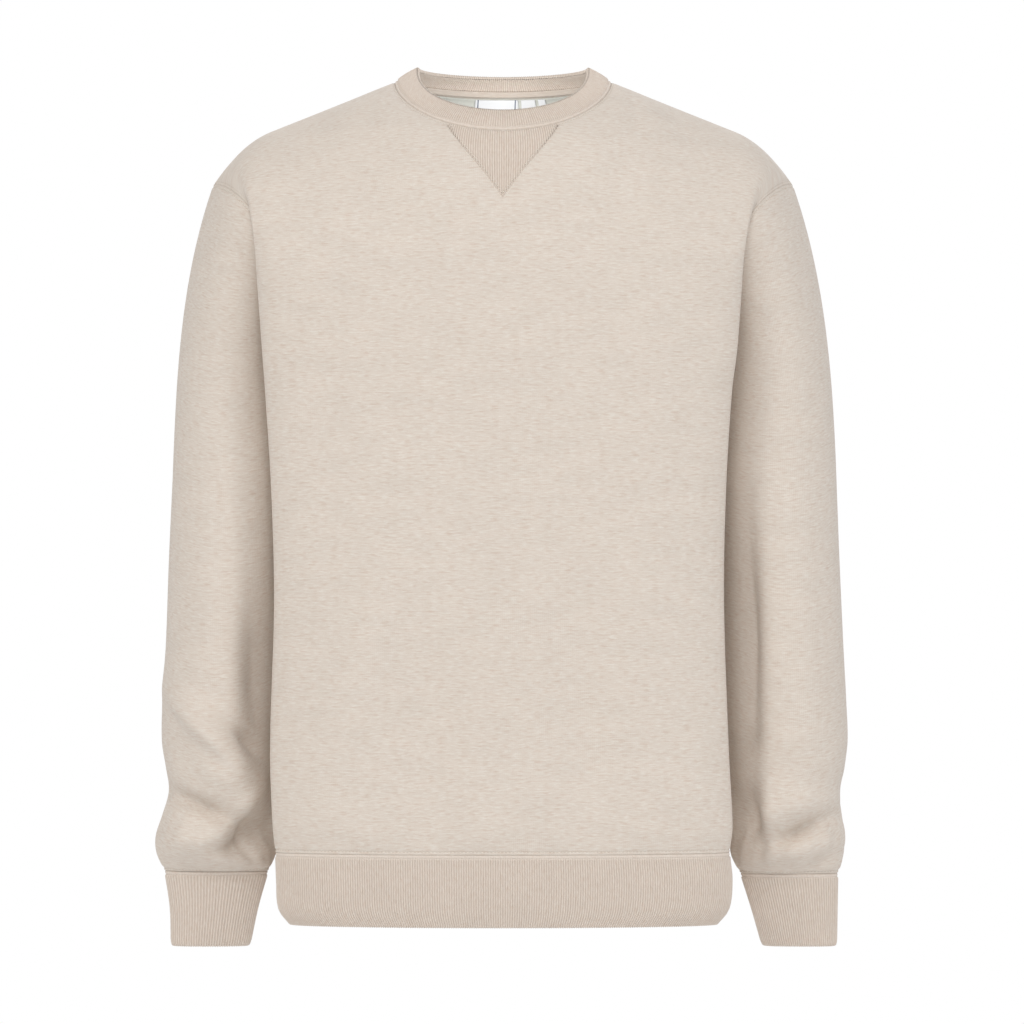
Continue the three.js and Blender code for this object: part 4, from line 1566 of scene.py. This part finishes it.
@dataclass(frozen=True)
class Lamp:
    """A soft square light that the camera doesn't see, in metres and watts."""

    name: str
    place: tuple[float, float, float]
    size: float
    power: float
    target: tuple[float, float, float] = (0, 0, -0.36)
    colour: tuple[float, float, float] = (1, 1, 1)

    def build(self) -> None:
        """Makes the light."""
        data = bpy.data.lights.new(self.name, "AREA")
        data.color = self.colour
        data.size = self.size
        data.energy = self.power
        lamp = add_object(self.name, data)
        lamp.location = self.place
        lamp.visible_camera = False
        aim = Vector(self.target) - Vector(self.place)
        lamp.rotation_euler = aim.to_track_quat("-Z", "Y").to_euler()


@dataclass
class Studio:
    """Camera, soft lights and pale floor, in metres."""

    camera_x: float = 0.0075
    camera_z: float = -0.361
    distance: float = 5.0
    sensor: float = 36.0
    frame_width: float = 0.86
    far_clip: float = 60.0
    floor_z: float = -1.02
    floor_size: float = 4.2
    surround: float = 0.55
    lamps: tuple[Lamp, ...] = (
        Lamp("left key", (-3.5, -2.7, 1.7), 1.3, 28, colour=(1.0, 0.95, 0.87)),
        Lamp("right key", (3.5, -2.7, 1.5), 0.9, 29),
        Lamp("front key", (-0.2, -3.4, 1.8), 1.5, 41),
        Lamp("low fill", (0.0, -3.9, -0.75), 1.6, 3),
        Lamp("neck fill", (0.0, -0.02, -0.085), 0.05, 0.085, (0.0, 0.05, 0.0)),
        Lamp("back", (0.2, 3.2, 1.4), 2.4, 56))

    def build(self) -> None:
        """Makes the camera, the lights, the floor and the surround."""
        data = bpy.data.cameras.new("camera")
        data.sensor_width = self.sensor
        data.lens = self.sensor * self.distance / self.frame_width
        data.clip_end = self.far_clip
        camera = add_object("camera", data)
        camera.location = (self.camera_x, -self.distance, self.camera_z)
        camera.rotation_euler = (math.radians(90), 0, 0)
        bpy.context.scene.camera = camera
        for lamp in self.lamps:
            lamp.build()
        self.floor()
        self.world()
        bpy.context.scene.view_settings.view_transform = "Standard"

    def floor(self) -> None:
        """Adds a round pale floor."""
        disc = bmesh.new()
        bmesh.ops.create_circle(disc, cap_ends=True, segments=96, radius=self.floor_size / 2,
                                matrix=Matrix.Translation((0, 0, self.floor_z)))
        mesh = finished_mesh(disc, "floor")
        plane = add_object("floor", mesh)
        shader = Shader("pale_floor")
        shader.settle(Base_Color=(0.9, 0.9, 0.9, 1), Roughness=0.9)
        mesh.materials.append(shader.material)

    def world(self) -> None:
        """Sets an even white surround."""
        world = bpy.data.worlds.new("surround")
        world.use_nodes = True
        tree = world.node_tree
        soft = tree.nodes["Background"]
        soft.inputs["Color"].default_value = (1, 1, 1, 1)
        soft.inputs["Strength"].default_value = self.surround
        seen = tree.nodes.new("ShaderNodeBackground")
        seen.inputs["Color"].default_value = (1, 1, 1, 1)
        ray = tree.nodes.new("ShaderNodeLightPath")
        choice = tree.nodes.new("ShaderNodeMixShader")
        tree.links.new(ray.outputs["Is Camera Ray"], choice.inputs[0])
        tree.links.new(soft.outputs[0], choice.inputs[1])
        tree.links.new(seen.outputs[0], choice.inputs[2])
        tree.links.new(choice.outputs[0], tree.nodes["World Output"].inputs[0])
        bpy.context.scene.world = world


def left_sleeve(body: BodyForm) -> SleeveForm:
    """Form of the sleeve at +X, with its own sections and folds.

    Args:
        body: the body that it joins.

    Returns:
        The form.
    """
    return SleeveForm(
        Side.LEFT, body,
        sleeve_table((-664, 281, 199, -25, 17), (-648, 286, 191.5, -48, 38),
                     (-630, 286.5, 190.5, -55, 45), (-612, 284, 190.5, -58, 48),
                     (-595, 282, 191, -59, 50), (-575, 286, 189, -61, 53),
                     (-553, 289, 187, -62, 56), (-520, 288, 184, -62, 59),
                     (-470, 285.5, 182, -61, 62), (-400, 282.5, 180, -60, 65),
                     (-330, 280, 178, -58, 66)),
        sleeve_table((-725, 280, 217.5, -19, 12), (-692, 280.5, 208, -21, 14),
                     (-664, 281, 199, -25, 17)),
        [Fold(202, -470, 1, 84, 20, -17, -0.5), Fold(197, -552, -32, 18, 10, -6),
         Fold(219, -611, 4, 24, 12, 8), Fold(201, -617, 0, 22, 16, -22, -0.1),
         Fold(248, -626, -69, 33, 8, -20), Fold(269, -651, -72, 19, 6, -12),
         Fold(244, -604, -80, 36, 10, 5), Fold(250, -480, 4, 100, 24, 3),
         Fold(262, -566, 60, 30, 10, 2.5)],
        [Fold(238, -600, -70, 36, 12, -6), Fold(215, -470, 12, 60, 18, -5)])


def right_sleeve(body: BodyForm) -> SleeveForm:
    """Form of the sleeve at -X, with its own sections and folds.

    Args:
        body: the body that it joins.

    Returns:
        The form.
    """
    return SleeveForm(
        Side.RIGHT, body,
        sleeve_table((-662, 284, 197, -25, 17), (-648, 290.5, 191.5, -47, 38),
                     (-636, 291.5, 190.5, -54, 44), (-618, 287, 190.5, -57, 47),
                     (-595, 280.6, 191, -59, 50), (-575, 283, 189, -61, 53),
                     (-553, 286.4, 187, -62, 56), (-520, 286, 184, -62, 59),
                     (-470, 283, 182, -61, 62), (-400, 280.6, 180, -60, 65),
                     (-330, 277.5, 178, -58, 66)),
        sleeve_table((-725, 278.5, 212.5, -19, 12), (-692, 279.5, 205.5, -21, 14),
                     (-662, 284, 197, -25, 17)),
        [Fold(-246, -545, 44, 44, 11, 13, 0.3), Fold(-252, -606, 70, 38, 8, -18),
         Fold(-201, -628, -56, 25, 15, -28), Fold(-229, -641, -78, 23, 7, -11),
         Fold(-198, -506, 4, 60, 21, -17, 0.2), Fold(-209, -553, 48, 20, 8, -10),
         Fold(-229, -582, 50, 24, 12, 8), Fold(-258, -636, 75, 30, 11, 6),
         Fold(-212, -604, -30, 20, 9, 8), Fold(-214, -655, 85, 24, 5, 5),
         Fold(-240, -420, -6, 90, 24, 3), Fold(-268, -560, 30, 26, 10, -3)],
        [Fold(-240, -610, 75, 36, 12, -6), Fold(-218, -480, -10, 60, 18, -5)])


def main() -> None:
    """Builds the garment and its studio."""
    logging.basicConfig(level=logging.INFO, format="%(name)s: %(message)s")
    Studio().build()
    fleece = HeatherKnit("heather_fleece", seam_shadow_share=0.3).make()
    inside = HeatherKnit("brushed_inside", base=(0.69, 0.695, 0.64, 1),
                         cream=(0.75, 0.75, 0.70, 1), rosy=(0.63, 0.62, 0.56, 1),
                         contrast=0.5).make()
    rib = HeatherKnit("heather_rib", base=(0.80, 0.705, 0.625, 1), cream=(0.90, 0.85, 0.78, 1),
                      rosy=(0.68, 0.54, 0.44, 1), streaks_across=420, streaks_up=260,
                      contrast=0.6, groove_shadow_share=0.4, seam_shadow_share=0.24, wale_relief=0.0).make()
    tape = HeatherKnit("neck_tape_knit", base=(0.66, 0.575, 0.50, 1), contrast=0.4).make()
    thread = PlainThread("thread").make()

    form = BodyForm()
    body = BodyPanels(form)
    body.build(fleece, inside)
    sleeves = [Sleeve(left_sleeve(form)), Sleeve(right_sleeve(form))]
    for sleeve in sleeves:
        sleeve.build(fleece, inside)

    left, right = (sleeve.form.cuff_ring for sleeve in sleeves)
    bands = [
        RibBand("collar_band", "collar_rib", ring_of_faces(form.collar), 22, 1.9, (0.54, 0.05),
                fold_low=False),
        RibBand("hem_band", "hem_rib", ring_of_faces(form.hem), 60, 2.0, (1.06, 0.122),
                per_rib=4, rows=14),
        RibBand("cuff_left_band", "cuff_left", left, 61, 2.1, (0.185, 0.124), rows=20),
        RibBand("cuff_right_band", "cuff_right", right, 61, 2.4, (0.18, 0.124), rows=20)]
    for band in bands:
        band.build(rib)
    insert = VInsert(form)
    insert.build(rib)
    NeckTrim(form).build(tape)
    Sewing().build("topstitching", body, sleeves, insert, thread)


if __name__ == "__main__":
    main()
